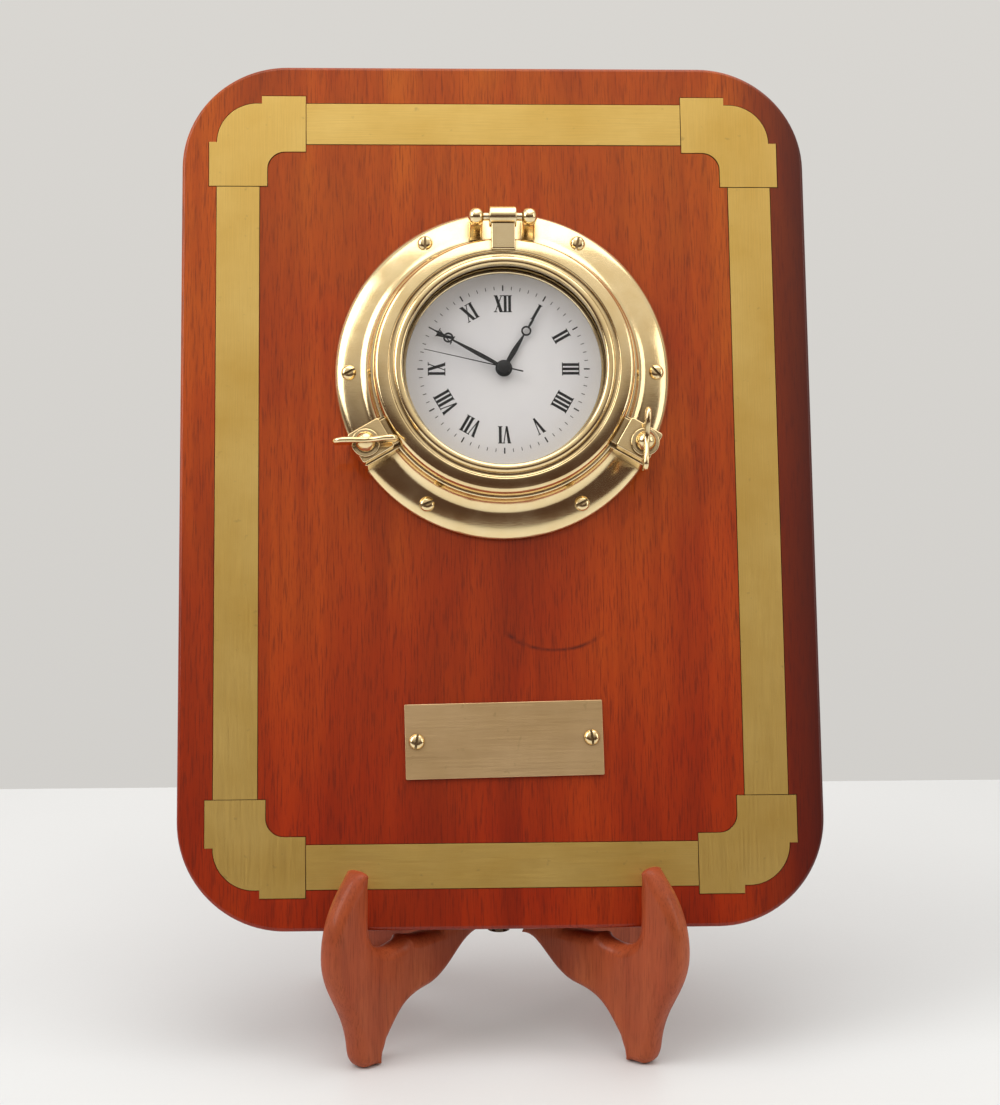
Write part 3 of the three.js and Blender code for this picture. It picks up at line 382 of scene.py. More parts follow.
def crossed(outline):
    """Marks the edges of a closed outline that cross another of its edges."""
    start, end = outline, np.roll(outline, -1, axis=0)

    def side(a, b, c):
        across = (b[..., 0] - a[..., 0]) * (c[..., 1] - a[..., 1])
        return across - (b[..., 1] - a[..., 1]) * (c[..., 0] - a[..., 0])

    a, b, c, d = start[:, None], end[:, None], start[None], end[None]
    hits = (side(a, b, c) * side(a, b, d) < 0) & (side(c, d, a) * side(c, d, b) < 0)
    return hits.any(axis=1)


def rounded_plate(points, low, high, top=0.0, bottom=0.0, steps=5):
    """A slab between z = low and z = high whose upper and lower edges are rounded.

    room is how far each point of the outline can move inward without the edge folding over.
    """
    points = clean(points)
    direction, stretch = inward(points)
    base = np.array(points)
    reach = max(top, bottom)
    room = np.zeros(len(points))
    for share in np.linspace(0, 1, ROOM_STEPS + 1)[1:]:
        inset = reach * share
        rim = base + direction * (stretch * inset)[:, None]
        fits = distance_to_outline(rim, points) > ROOM_CLEARANCE * inset
        room = np.where(fits & (room > reach * (share - ROOM_LAG)), inset, room)
    before = np.linalg.norm(base - np.roll(base, 1, axis=0), axis=1)
    for _ in points:
        room = np.minimum(room, np.roll(room, 1) + ROOM_SLOPE * before)
        room = np.minimum(room, np.roll(room + ROOM_SLOPE * before, -1))
    for _ in range(ROOM_TRIES):
        rim = base + direction * (stretch * room)[:, None]
        run = ((np.roll(rim, -1, axis=0) - rim) * (np.roll(base, -1, axis=0) - base)).sum(axis=1)
        folded = (run < 0) | crossed(rim)
        if not folded.any():
            break
        room = np.where(folded | np.roll(folded, 1), ROOM_SHRINK * room, room)
    loops = []

    def loop(share, radius, level, sign):
        inset = room * radius / max(reach, 1e-9) * (1 - math.cos(math.pi / 2 * share))
        rim = base + direction * (stretch * inset)[:, None]
        fall = sign * radius * (1 - math.sin(math.pi / 2 * share))
        loops.append([(x, y, level + fall) for x, y in rim])

    for i in range(steps if bottom > 0 else 0, -1, -1):
        loop(i / steps, bottom, low, 1)
    for i in range(steps + 1 if top > 0 else 1):
        loop(i / steps, top, high, -1)
    return stacked(loops)


def turned(profile, sides=144):
    """A turned piece about z. A profile that starts on the axis is a spindle, any other a ring."""
    angles = [2 * math.pi * i / sides for i in range(sides)]
    loops = [[(r * math.cos(a), r * math.sin(a), z) for a in angles] for r, z in profile]
    if profile[0][0] > 0:
        loops.append(loops[0])
    return stacked(loops, close_ends=False)


def barrel(radius, low, high, edge, sides):
    """A turned cylinder with rounded rims."""
    profile = Outline(0, low)
    profile.line((radius - edge, low))
    profile.bend(radius, low, radius, low + edge, 4)
    profile.line((radius, high - edge))
    profile.bend(radius, high, radius - edge, high, 4)
    profile.line((0, high))
    return turned(profile.points, sides)


def moved(made, matrix):
    made.data.transform(matrix)
    return made


def slide(x=0.0, y=0.0, z=0.0):
    return Matrix.Translation((x, y, z))


def turn(degrees, axis):
    return Matrix.Rotation(math.radians(degrees), 4, axis)


def cut(first, others):
    """Cuts the others out of the first solid."""
    for other in others:
        modifier = first.modifiers.new("cut", "BOOLEAN")
        modifier.object = other
        modifier.operation = "DIFFERENCE"
        modifier.solver = "EXACT"
    graph = bpy.context.evaluated_depsgraph_get()
    result = bpy.data.meshes.new_from_object(first.evaluated_get(graph))
    first.modifiers.clear()
    first.data = result
    for other in others:
        bpy.data.objects.remove(other)
    return first


def grouped(solids):
    """Puts several solids into one mesh; where they overlap, they read as one."""
    work = bmesh.new()
    for made in solids:
        work.from_mesh(made.data)
    mesh = bpy.data.meshes.new("grouped")
    work.to_mesh(mesh)
    work.free()
    for made in solids[1:]:
        bpy.data.objects.remove(made)
    solids[0].data = mesh
    return solids[0]


def piece(made, name, place, body, look, replaces=(), slot=None, level=False):
    """Names a finished solid, places it in the scene and hands it to its CAD body.

    The slot argument is not used. A level piece keeps its axes along the
    room's, so that its box fits it closely.
    """
    made.name = name
    made.data.name = name
    made.data.transform(Matrix.Scale(MM, 4))
    if level:
        made.data.transform(place.to_3x3().to_4x4())
        place = Matrix.Translation(place.translation)
    made.data.materials.clear()
    made.data.materials.append(LOOKS[look])
    made.data.shade_smooth()
    made.data.set_sharp_from_angle(angle=math.radians(SHARP_ANGLE))
    weighted = made.modifiers.new("weighted_normals", "WEIGHTED_NORMAL")
    weighted.keep_sharp = True
    made.matrix_world = place
    bpy.context.view_layer.update()
    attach(made, body)
    if replaces:
        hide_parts(*replaces)
    slot = slot or look
    return made


# ---- frames


def plaque_frame():
    low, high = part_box("board")
    out = Vector((0, -math.cos(LEAN), math.sin(LEAN)))
    face = (low + high) / 2 + out * BOARD_DEPTH / 2 * MM
    return Matrix.Translation(face) @ Matrix.Rotation(math.pi / 2 - LEAN, 4, "X")


def leaf_frame(side):
    """x runs forward from the pivot, y up and z sideways; side is -1 left, 1 right."""
    low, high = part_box("stand_pivot_pin")
    pivot = Vector(((low.x + high.x) / 2, (low.y + high.y) / 2, 0))
    axes = Matrix(((0, 0, -1, 0), (-1, 0, 0, 0), (0, 1, 0, 0), (0, 0, 0, 1)))
    return Matrix.Translation(pivot) @ turn(side * LEAF_TURN, "Z") @ axes


PLAQUE = plaque_frame()
PORTHOLE = PLAQUE @ slide(CLOCK_X * MM, CLOCK_Y * MM)


# ---- materials


class Nodes:
    """Adds nodes to a node tree and links them."""

    def __init__(self, tree):
        self.tree = tree

    def feed(self, socket, value):
        """Gives a socket its value, which is another socket, a colour or a plain value."""
        if isinstance(value, bpy.types.NodeSocket):
            self.tree.links.new(value, socket)
        elif socket.type == "RGBA":
            socket.default_value = (*value, 1)
        else:
            socket.default_value = value

    def fill(self, node, **values):
        """Feeds a node's inputs by name, with _ for a space."""
        for name, value in values.items():
            self.feed(node.inputs[name.replace("_", " ")], value)

    def add(self, kind, **values):
        node = self.tree.nodes.new(kind)
        self.fill(node, **values)
        return node

    def parts(self, vector):
        """The X, Y and Z of a vector."""
        return self.add("ShaderNodeSeparateXYZ", Vector=vector).outputs

    def range(self, source, low, high, out_low=0.0, out_high=1.0):
        ends = {"From_Min": low, "From_Max": high, "To_Min": out_low, "To_Max": out_high}
        return self.add("ShaderNodeMapRange", Value=source, **ends).outputs["Result"]

    def colours(self, source, *stops):
        """A colour ramp; each stop is (place, (r, g, b))."""
        node = self.add("ShaderNodeValToRGB", Fac=source)
        ramp = node.color_ramp
        while len(ramp.elements) < len(stops):
            ramp.elements.new(0.5)
        for element, (place, colour) in zip(ramp.elements, stops):
            element.position = place
            element.color = (*colour, 1)
        return node.outputs["Color"]

    def mix(self, share, first, second, blend="MIX"):
        """Blends two colours; share and the colours are sockets or plain values."""
        node = self.add("ShaderNodeMix")
        node.data_type = "RGBA"
        node.blend_type = blend
        for slot, value in ((0, share), (6, first), (7, second)):
            self.feed(node.inputs[slot], value)
        return node.outputs[2]

    def sum(self, first, second, operation="ADD"):
        node = self.add("ShaderNodeMath")
        node.operation = operation
        self.feed(node.inputs[0], first)
        self.feed(node.inputs[1], second)
        return node.outputs[0]


class Shader(Nodes):
    """Builds one procedural material node by node."""

    def __init__(self, name, axes=None):
        """Patterns follow the piece's own axes. For a level piece, axes says how it was turned."""
        self.material = bpy.data.materials.new(name)
        self.material.use_nodes = True
        super().__init__(self.material.node_tree)
        self.surface = self.tree.nodes["Principled BSDF"]
        self.place = self.add("ShaderNodeTexCoord").outputs["Object"]
        if axes is not None:
            back = axes.to_3x3().inverted().to_euler("XYZ")
            self.place = self.add("ShaderNodeMapping", Vector=self.place, Rotation=back).outputs["Vector"]

    def set(self, **values):
        self.fill(self.surface, **values)

    def scaled(self, x, y, z, turn_z=0.0, shift=None):
        """Object coordinates stretched by these factors."""
        angles = (0, 0, math.radians(turn_z))
        mapping = self.add("ShaderNodeMapping", Vector=self.place, Scale=(x, y, z), Rotation=angles)
        if shift is None:
            return mapping.outputs["Vector"]
        joined = self.add("ShaderNodeVectorMath")
        joined.operation = "ADD"
        self.feed(joined.inputs[0], mapping.outputs["Vector"])
        self.feed(joined.inputs[1], shift)
        return joined.outputs["Vector"]

    def evenly(self, factor):
        return self.scaled(factor, factor, factor)

    def noise(self, vector, detail, roughness=0.5, distortion=0.0, color=False):
        grain = {"Scale": 1.0, "Detail": detail, "Roughness": roughness, "Distortion": distortion}
        node = self.add("ShaderNodeTexNoise", Vector=vector, **grain)
        return node.outputs["Color" if color else "Fac"]

    def bump(self, height, depth, strength):
        node = self.add("ShaderNodeBump", Height=height, Distance=depth, Strength=strength)
        self.set(Normal=node.outputs["Normal"])

    def crevice(self, distance):
        """One in the open and towards zero where surfaces crowd together."""
        node = self.add("ShaderNodeAmbientOcclusion", Distance=distance)
        node.samples = 8
        return node.outputs["AO"]

    def edge(self):
        """Above one half on outward edges."""
        return self.add("ShaderNodeNewGeometry").outputs["Pointiness"]


def lacquered_wood(name, axes, dark, middle, light, roughness, coat, slant=0.0, pore_share=0.55):
    """Reddish timber with upright grain, fine pores and a lacquer coat."""
    s = Shader(name, axes)
    wander = s.noise(s.scaled(9, 5, 9), detail=2, color=True)
    figure = s.noise(s.scaled(26, 3.2, 26, slant, wander), detail=4, roughness=0.55, distortion=0.6)
    bands = s.noise(s.scaled(150, 5, 150, slant, wander), detail=5, roughness=0.6)
    pores = s.noise(s.scaled(1500, 70, 1500, slant), detail=3, roughness=0.65)
    ground = s.colours(figure, (0.3, dark), (0.5, middle), (0.72, light))
    streaked = s.mix(s.range(bands, 0.42, 0.7, 0.0, 0.55), ground, dark)
    pitted = s.range(pores, 0.36, 0.5, pore_share, 0.0)
    shaded = s.mix(pitted, streaked, tuple(0.45 * c for c in dark))
    blotches = s.noise(s.scaled(14, 11, 14), detail=3, roughness=0.6)
    s.finish = s.mix(s.range(blotches, 0.35, 0.7, 0.0, 0.35), shaded, light, "SOFT_LIGHT")
    s.set(Base_Color=s.finish)
    s.set(Roughness=s.range(pores, 0.3, 0.7, roughness + 0.1, roughness - 0.05))
    s.set(Specular_IOR_Level=0.15, Coat_Weight=coat, Coat_Roughness=0.1, Coat_IOR=1.5)
    s.bump(s.sum(pores, bands), 0.00006, 0.5)
    return s


def near_arc(s, place, radii, thickness):
    """One along the lower half of an ellipse drawn on the plaque, in metres, and zero elsewhere."""
    mapping = s.add("ShaderNodeMapping", Vector=s.place, Location=(*place, 0), Scale=(*radii, 1))
    mapping.vector_type = "TEXTURE"
    length = s.add("ShaderNodeVectorMath")
    length.operation = "LENGTH"
    s.feed(length.inputs[0], mapping.outputs["Vector"])
    off = s.sum(s.sum(length.outputs["Value"], 1.0, "SUBTRACT"), 0.0, "ABSOLUTE")
    lower = s.range(s.parts(mapping.outputs["Vector"])["Y"], -0.5, -0.2, 1.0, 0.0)
    return s.sum(s.range(off, 0.0, thickness, 1.0, 0.0), lower, "MULTIPLY")


def plaque_wood():
    tones = (0.24, 0.024, 0.001), (0.35, 0.039, 0.002), (0.45, 0.066, 0.004)
    s = lacquered_wood("plaque_wood", PLAQUE, *tones, 0.42, 0.45, slant=-6)
    place = s.parts(s.place)
    # Painted light and shade: the board is lighter and paler towards the top and darker towards the bottom.
    up = s.range(place["Y"], -0.19, 0.19)
    height = s.colours(up, (0.1, (0.82, 0.55, 0.5)), (0.9, (1.16, 1.8, 1.9)))
    painted_light_and_shade = s.mix(1.0, s.finish, height, "MULTIPLY")
    # Painted shade: the wood darkens towards the board's right edge.
    edge = s.range(place["X"], 0.1, 0.138, 0.0, 0.9)
    darker = s.mix(edge, painted_light_and_shade, (0.05, 0.005, 0.003))
    breaks = s.range(s.noise(s.evenly(260), detail=3), 0.35, 0.6, 0.15, 0.8)
    on_front = s.range(place["Z"], -0.004, -0.002, 0.0, 1.0)
    marked = s.sum(near_arc(s, KNOT_PLACE, KNOT_RADII, KNOT_LINE), on_front, "MULTIPLY")
    knot = s.sum(marked, breaks, "MULTIPLY")
    s.set(Base_Color=s.mix(knot, darker, (0.05, 0.006, 0.003)))
    return s.material


def stand_wood(side):
    """The wood of one leaf, whose grain keeps to the leaf."""
    tones = (0.22, 0.042, 0.014), (0.37, 0.08, 0.026), (0.5, 0.13, 0.045)
    name = "stand_wood_left" if side < 0 else "stand_wood_right"
    return lacquered_wood(name, leaf_frame(side), *tones, 0.46, 0.2, pore_share=0.35).material


def polished_brass(name, dull, clear, pale_edge):
    s = Shader(name)
    clouds = s.noise(s.evenly(60), detail=4, roughness=0.6)
    scratches = s.noise(s.scaled(260, 2600, 260, 35), detail=2)
    fine = s.noise(s.scaled(2400, 300, 900, -20), detail=2)
    ground = s.colours(clouds, (0.3, dull), (0.7, clear))
    # Painted shade: dark brown where surfaces crowd together, in hollows and between parts.
    open_air = s.range(s.crevice(0.004), 0.3, 0.9)
    painted_crevice_shade = s.mix(open_air, (0.16, 0.09, 0.04), ground)
    # Paler on outward edges: partly wear, partly a painted highlight.
    wear_and_painted_highlight = s.mix(s.range(s.edge(), 0.52, 0.6, 0.0, 0.5), painted_crevice_shade, pale_edge)
    s.set(Base_Color=wear_and_painted_highlight)
    rough = s.range(clouds, 0.3, 0.7, 0.1, 0.19)
    s.set(Roughness=s.sum(rough, s.range(open_air, 0, 1, 0.2, 0.0)), Metallic=1.0)
    s.bump(s.sum(s.sum(scratches, fine), clouds), 0.000025, 0.4)
    return s.material


def satin_brass(name, dull, clear, across=False):
    """Brass sheet brushed along y, or along x when across is set."""
    s = Shader(name)
    stretch = (40, 3200, 900) if across else (3200, 40, 900)
    brushing = s.noise(s.scaled(*stretch), detail=4, roughness=0.7)
    clouds = s.noise(s.evenly(22), detail=4, roughness=0.6)
    ground = s.colours(clouds, (0.3, dull), (0.7, clear))
    lined = s.mix(s.range(brushing, 0.35, 0.65, 0.0, 0.35), ground, tuple(0.75 * c for c in dull))
    spots = s.noise(s.evenly(240), detail=2)
    tarnished = s.mix(s.range(spots, 0.68, 0.8, 0.0, 0.4), lined, (0.3, 0.19, 0.08))
    # Painted shade: dark brown where surfaces crowd together.
    open_air = s.range(s.crevice(0.002), 0.3, 0.8)
    s.set(Base_Color=s.mix(open_air, (0.16, 0.07, 0.02), tarnished))
    s.set(Roughness=s.range(brushing, 0.3, 0.7, 0.3, 0.48), Metallic=1.0)
    s.bump(brushing, 0.00002, 0.4)
    return s.material


def clear_glass():
    s = Shader("clear_glass")
    smears = s.noise(s.scaled(45, 30, 45), detail=4, roughness=0.6, distortion=1.0)
    dust = s.noise(s.evenly(3000), detail=1)
    s.set(Roughness=s.range(smears, 0.4, 0.8, 0.02, 0.07))
    s.set(Alpha=s.range(dust, 0.7, 0.9, 0.06, 0.15))
    s.set(Base_Color=s.colours(smears, (0.3, (0.03, 0.04, 0.045)), (0.8, (0.06, 0.07, 0.075))))
    s.set(IOR=1.45)
    return s.material


def dial_paint():
    s = Shader("dial_paint")
    grain = s.noise(s.evenly(1800), detail=3)
    clouds = s.noise(s.evenly(30), detail=3)
    s.set(Base_Color=s.colours(clouds, (0.3, (0.83, 0.83, 0.86)), (0.7, (0.88, 0.88, 0.9))))
    s.set(Roughness=s.range(grain, 0.3, 0.7, 0.45, 0.6))
    s.bump(grain, 0.00001, 0.3)
    return s.material


def black_paint():
    s = Shader("black_paint")
    grain = s.noise(s.evenly(2500), detail=3)
    s.set(Base_Color=s.colours(grain, (0.3, (0.008, 0.008, 0.01)), (0.7, (0.022, 0.021, 0.022))))
    s.set(Roughness=s.range(grain, 0.3, 0.7, 0.3, 0.5))
    s.bump(grain, 0.00001, 0.3)
    return s.material


def moulded_plastic(name, dark, light, roughness):
    s = Shader(name)
    texture = s.noise(s.evenly(1400), detail=4, roughness=0.6)
    clouds = s.noise(s.evenly(90), detail=3)
    ground = s.colours(clouds, (0.3, dark), (0.7, light))
    # Paler on outward edges.
    pale_edge = tuple(min(1, 1.4 * c) for c in light)
    s.set(Base_Color=s.mix(s.range(s.edge(), 0.52, 0.62, 0, 0.4), ground, pale_edge))
    s.set(Roughness=s.range(texture, 0.3, 0.7, roughness - 0.1, roughness + 0.1))
    s.bump(texture, 0.00004, 0.4)
    return s.material


def plated_steel():
    s = Shader("plated_steel")
    brushing = s.noise(s.scaled(60, 2600, 2600), detail=3, roughness=0.6)
    clouds = s.noise(s.evenly(80), detail=3)
    s.set(Base_Color=s.colours(clouds, (0.3, (0.48, 0.49, 0.5)), (0.7, (0.66, 0.67, 0.68))))
    s.set(Roughness=s.range(brushing, 0.3, 0.7, 0.22, 0.42), Metallic=1.0)
    s.bump(brushing, 0.00001, 0.3)
    return s.material


def battery_wrap():
    """Plain shrink wrap: copper colour towards one end and black towards the other."""
    s = Shader("battery_wrap")
    share = s.range(s.parts(s.place)["X"], -0.0082, -0.008)
    scuffs = s.noise(s.evenly(200), detail=4)
    band = s.mix(share, (0.6, 0.26, 0.1), (0.02, 0.02, 0.022))
    s.set(Base_Color=s.mix(s.range(scuffs, 0.6, 0.75, 0, 0.3), band, (0.25, 0.22, 0.2)))
    s.set(Roughness=s.range(scuffs, 0.3, 0.7, 0.2, 0.4), Metallic=0.3)
    s.bump(scuffs, 0.00003, 0.3)
    return s.material


def wound_copper():
    s = Shader("wound_copper")
    wave = s.add("ShaderNodeTexWave", Vector=s.evenly(1), Scale=1600)
    wave.bands_direction = "Z"
    turns = wave.outputs["Fac"]
    s.set(Base_Color=s.colours(turns, (0.2, (0.25, 0.08, 0.03)), (0.8, (0.75, 0.33, 0.16))))
    s.set(Roughness=s.range(turns, 0, 1, 0.45, 0.3), Metallic=1.0)
    s.bump(turns, 0.00008, 0.6)
    return s.material


def solder_mask():
    s = Shader("solder_mask")
    tracks = s.noise(s.scaled(700, 90, 700), detail=1)
    s.set(Base_Color=s.colours(tracks, (0.48, (0.01, 0.09, 0.035)), (0.52, (0.03, 0.17, 0.07))))
    s.set(Roughness=s.range(tracks, 0.4, 0.6, 0.3, 0.45))
    s.bump(tracks, 0.00003, 0.4)
    return s.material


def table_top():
    s = Shader("table_top")
    clouds = s.noise(s.evenly(3), detail=3)
    grain = s.noise(s.evenly(500), detail=2)
    s.set(Base_Color=s.colours(clouds, (0.3, (0.7, 0.72, 0.74)), (0.7, (0.74, 0.76, 0.78))))
    s.set(Roughness=s.range(grain, 0.3, 0.7, 0.4, 0.5))
    s.bump(grain, 0.00002, 0.2)
    return s.material


LOOKS = {
    "plaque_wood": plaque_wood(),
    "stand_wood": stand_wood(-1),
    "stand_wood_right": stand_wood(1),
    "polished_brass": polished_brass(
        "polished_brass", (0.84, 0.64, 0.33), (0.93, 0.76, 0.45), (0.98, 0.88, 0.64)
    ),
    # Near-black brass for the stand's pivot pin: painted shadow, as the pin sits in shade between the leaves
    # under the board.
    "painted_shadow_pin": polished_brass("painted_shadow_pin", (0.03, 0.02, 0.012), (0.05, 0.03, 0.02), (0.1, 0.06, 0.04)),
    "satin_brass": satin_brass("satin_brass", (0.72, 0.47, 0.12), (0.85, 0.61, 0.2)),
    "satin_brass_across": satin_brass("satin_brass_across", (0.72, 0.47, 0.12), (0.85, 0.61, 0.2), True),
    "plate_brass": satin_brass("plate_brass", (0.72, 0.5, 0.25), (0.88, 0.64, 0.36), True),
    "glass": clear_glass(),
    "dial_paint": dial_paint(),
    "hand_paint": black_paint(),
    "movement_plastic": moulded_plastic(
        "movement_plastic", (0.012, 0.012, 0.014), (0.028, 0.028, 0.031), 0.5
    ),
    "gear_plastic": moulded_plastic("gear_plastic", (0.7, 0.68, 0.62), (0.82, 0.8, 0.75), 0.35),
    "steel": plated_steel(),
    "coil_copper": wound_copper(),
    "circuit_board": solder_mask(),
}


# ---- plaque


def board():
    half_x, half_y = BOARD_WIDTH / 2, BOARD_HEIGHT / 2
    outline = rounded_rectangle(-half_x, half_x, -half_y, half_y, BOARD_CORNER, 24)
    body = rounded_plate(outline, -BOARD_DEPTH, 0, BOARD_EDGE, BOARD_EDGE)
    cuts = [rounded_plate(o, -POCKET_DEPTH, 2) for o in inlay_outlines(POCKET_GAP).values()]
    low, high = -BOARD_DEPTH - 2, 2
    hole = turned([(0, low), (CLOCK_HOLE_RADIUS, low), (CLOCK_HOLE_RADIUS, high), (0, high)], 96)
    cuts.append(moved(hole, slide(CLOCK_X, CLOCK_Y)))
    piece(cut(body, cuts), "board_wood", PLAQUE, "plaque", "plaque_wood", ["board"], level=True)


def inlay():
    for name, outline in inlay_outlines().items():
        metal = rounded_plate(outline, -INLAY_DEPTH, INLAY_PROUD, 0.1, 0, 2)
        across = name in ("inlay_strip_top", "inlay_strip_bottom")
        look = "satin_brass_across" if across else "satin_brass"
        piece(metal, f"{name}_brass", PLAQUE, "plaque", look, [name], "satin_brass")


def screw_head(turn_degrees):
    """A round head with a slot; z = 0 is the height of its seat."""
    profile = Outline(0, -SCREW_SKIRT)
    profile.line((SCREW_HEAD_RADIUS - 0.1, -SCREW_SKIRT), (SCREW_HEAD_RADIUS, 0.1))
    profile.bend(SCREW_HEAD_RADIUS * 0.93, SCREW_HEAD_HEIGHT * 0.96, 0.9, SCREW_HEAD_HEIGHT)
    profile.line((0, SCREW_HEAD_HEIGHT))
    head = turned(profile.points, 48)
    slot = rounded_plate(rectangle(-5, 5, -SCREW_SLOT_HALF, SCREW_SLOT_HALF), SCREW_SLOT_FLOOR, 4)
    return moved(cut(head, [slot]), turn(turn_degrees, "Z"))


def name_plate():
    half_x, half_y = PLATE_WIDTH / 2, PLATE_HEIGHT / 2
    place = PLAQUE @ slide(PLATE_X * MM, PLATE_Y * MM) @ Matrix.Rotation(PLATE_TURN, 4, "Z")
    outline = rounded_rectangle(-half_x, half_x, -half_y, half_y, 0.5, 3)
    plate = rounded_plate(outline, PLATE_LOW, PLATE_HIGH, 0.25)
    piece(plate, "name_plate_brass", place, "plaque", "plate_brass", ["name_plate"], "satin_brass")
    for name, side in (("left", -1), ("right", 1)):
        head = moved(screw_head(PLATE_SLOT_TURNS[name]), slide(side * PLATE_SCREW_X, 0, PLATE_HIGH + 0.3))
        piece(head, f"name_plate_screw_{name}_head", place, "plaque", "polished_brass",
              [f"name_plate_screw_{name}"])


# ---- porthole


def brass(made, node, body="plaque"):
    """A polished piece of the porthole that stands in for one CAD node."""
    piece(made, f"{node}_brass", PORTHOLE, body, "polished_brass", [node])


def around(radius, degrees):
    angle = math.radians(degrees)
    return radius * math.cos(angle), radius * math.sin(angle)


def clamp_direction(side):
    return 90 - side * CLAMP_ANGLE


def clamp_block(side, start, end, half, low, high, edge):
    """A rounded block that reaches outward in a clamp's direction."""
    block = rounded_plate(rounded_rectangle(start, end, -half, half, 1.2, 5), low, high, edge)
    return moved(block, turn(clamp_direction(side), "Z"))


def at_hinge(made, middle=0.0):
    """Lays a turned piece along x at the hinge."""
    return moved(made, slide(middle, HINGE_Y, HINGE_Z) @ turn(90, "Y"))


def hinge_lug(side):
    eye = Outline(0, -LUG_HALF)
    eye.bend(LUG_RADIUS, -LUG_HALF, LUG_RADIUS, 0, 8)
    eye.bend(LUG_RADIUS, LUG_HALF, 0, LUG_HALF, 8)
    arm = Outline(NECK_RADIUS + 0.4, 3)
    arm.line((HINGE_Y + 3.3, 3))
    arm.bend(HINGE_Y + 2.2, 10, HINGE_Y + 2.7, HINGE_Z - 1)
    arm.line((HINGE_Y - 2.7, HINGE_Z - 1))
    arm.bend(NECK_RADIUS + 3.5, 13.5, NECK_RADIUS + 0.4, 11)
    thick = 2 * LUG_HALF - 1
    upright = rounded_plate(arm.points, -thick / 2, thick / 2, 1.2, 1.2)
    moved(upright, slide(side * LUG_MIDDLE) @ turn(90, "Z") @ turn(90, "X"))
    return [at_hinge(turned(eye.points, 40), side * LUG_MIDDLE), upright]


def porthole_base():
    profile = Outline(BORE_RADIUS, 0.3)
    profile.line((FLANGE_RADIUS - 0.3, 0.3), (FLANGE_RADIUS, 0.6), (FLANGE_RADIUS, 1.8))
    profile.bend(73.5, 3.7, 69.9, 4.8)
    profile.bend(66.6, 5.8, 63.6, 6.4)
    profile.sweep(61, 7, NECK_RADIUS, 9, NECK_RADIUS, 12.6)
    profile.line(
        (NECK_RADIUS, NECK_TOP - 0.3), (NECK_RADIUS - 0.3, NECK_TOP), (SEAT_RADIUS, NECK_TOP),
        (SEAT_RADIUS, SEAT_Z), (BORE_RADIUS, SEAT_Z),
    )
    ring = turned(clean(profile.points))
    lugs = hinge_lug(-1) + hinge_lug(1)
    for side in (-1, 1):
        ends = NECK_RADIUS - 2, FLANGE_RADIUS + 0.4
        lugs.append(clamp_block(side, *ends, CLAMP_BASE_HALF, 2, NECK_TOP, 0.5))
    brass(grouped([ring] + lugs), "porthole_base")


def flange_screws():
    for i, slot_turn in enumerate(FLANGE_SLOT_TURNS):
        x, y = around(FLANGE_SCREW_RADIUS, 60 - i * 60)
        head = moved(screw_head(slot_turn), slide(x, y, FLANGE_SCREW_Z))
        piece(head, f"flange_screw_{i + 1}_head", PORTHOLE, "plaque", "polished_brass",
              [f"flange_screw_{i + 1}"])


def hinge_pin():
    profile = [(0, -PIN_HALF), (PIN_RADIUS - 0.5, -PIN_HALF), (PIN_RADIUS, -PIN_HALF + 0.5)]
    profile += [(PIN_RADIUS, PIN_HALF - 0.5), (PIN_RADIUS - 0.5, PIN_HALF), (0, PIN_HALF)]
    brass(at_hinge(turned(profile, 40)), "hinge_pin")


def door_strap():
    """Strap from the knuckle down over the door's ring, drawn from the side as y and z."""
    side = Outline(STRAP_END, DOOR_CREST - 4)
    side.line(
        (DOOR_RADIUS - 3.5, HINGE_Z - 2.2), (HINGE_Y, HINGE_Z - 2.2), (HINGE_Y, HINGE_Z + 2),
        (HINGE_Y - 4.4, HINGE_Z + 2), (HINGE_Y - 4.4, DOOR_CREST + 0.7),
        (STRAP_END + 1, DOOR_CREST + 0.4),
    )
    side.bend(STRAP_END, DOOR_CREST + 0.4, STRAP_END, DOOR_CREST - 0.3, 5)
    plate = rounded_plate(side.points, -STRAP_HALF, STRAP_HALF, 0.6, 0.6)
    return moved(plate, turn(90, "Z") @ turn(90, "X"))


def porthole_door():
    profile = Outline(REBATE_RADIUS, DOOR_BACK)
    profile.line(
        (DOOR_RADIUS - 0.3, DOOR_BACK), (DOOR_RADIUS, DOOR_BACK + 0.3),
        (DOOR_RADIUS, DOOR_CREST - 6.5),
    )
    profile.bend(DOOR_RADIUS - 0.2, DOOR_CREST - 2.3, 55.2, DOOR_CREST - 1.8, 16)
    profile.bend(53, DOOR_CREST - 1.2, 51.2, DOOR_CREST - 1.05, 10)
    profile.bend(50.6, DOOR_CREST - 1, 50.3, DOOR_CREST - 1.7, 6)
    profile.bend(49.6, DOOR_CREST - 2.1, 48.5, DOOR_CREST - 1.7, 8)
    profile.bend(48.3, DOOR_CREST, 46.4, DOOR_CREST, 10)
    profile.bend(DOOR_OPENING, DOOR_CREST, DOOR_OPENING, DOOR_CREST - 1.9, 10)
    profile.line((DOOR_OPENING, REBATE_Z), (REBATE_RADIUS, REBATE_Z))
    ring = turned(clean(profile.points))
    knuckle = barrel(KNUCKLE_RADIUS, -KNUCKLE_HALF, KNUCKLE_HALF, 0.7, 40)
    parts = [at_hinge(knuckle), door_strap()]
    for side in (-1, 1):
        half, top = CLAMP_DOOR_HALF, CLAMP_DOOR_TOP
        parts.append(clamp_block(side, 59.5, FLANGE_RADIUS + 1, half, DOOR_BACK, top, 0.6))
        parts.append(clamp_block(side, 54, 61.5, half - 1, DOOR_BACK, top - 2.8, 0.6))
    brass(grouped([ring] + parts), "porthole_door", "door")


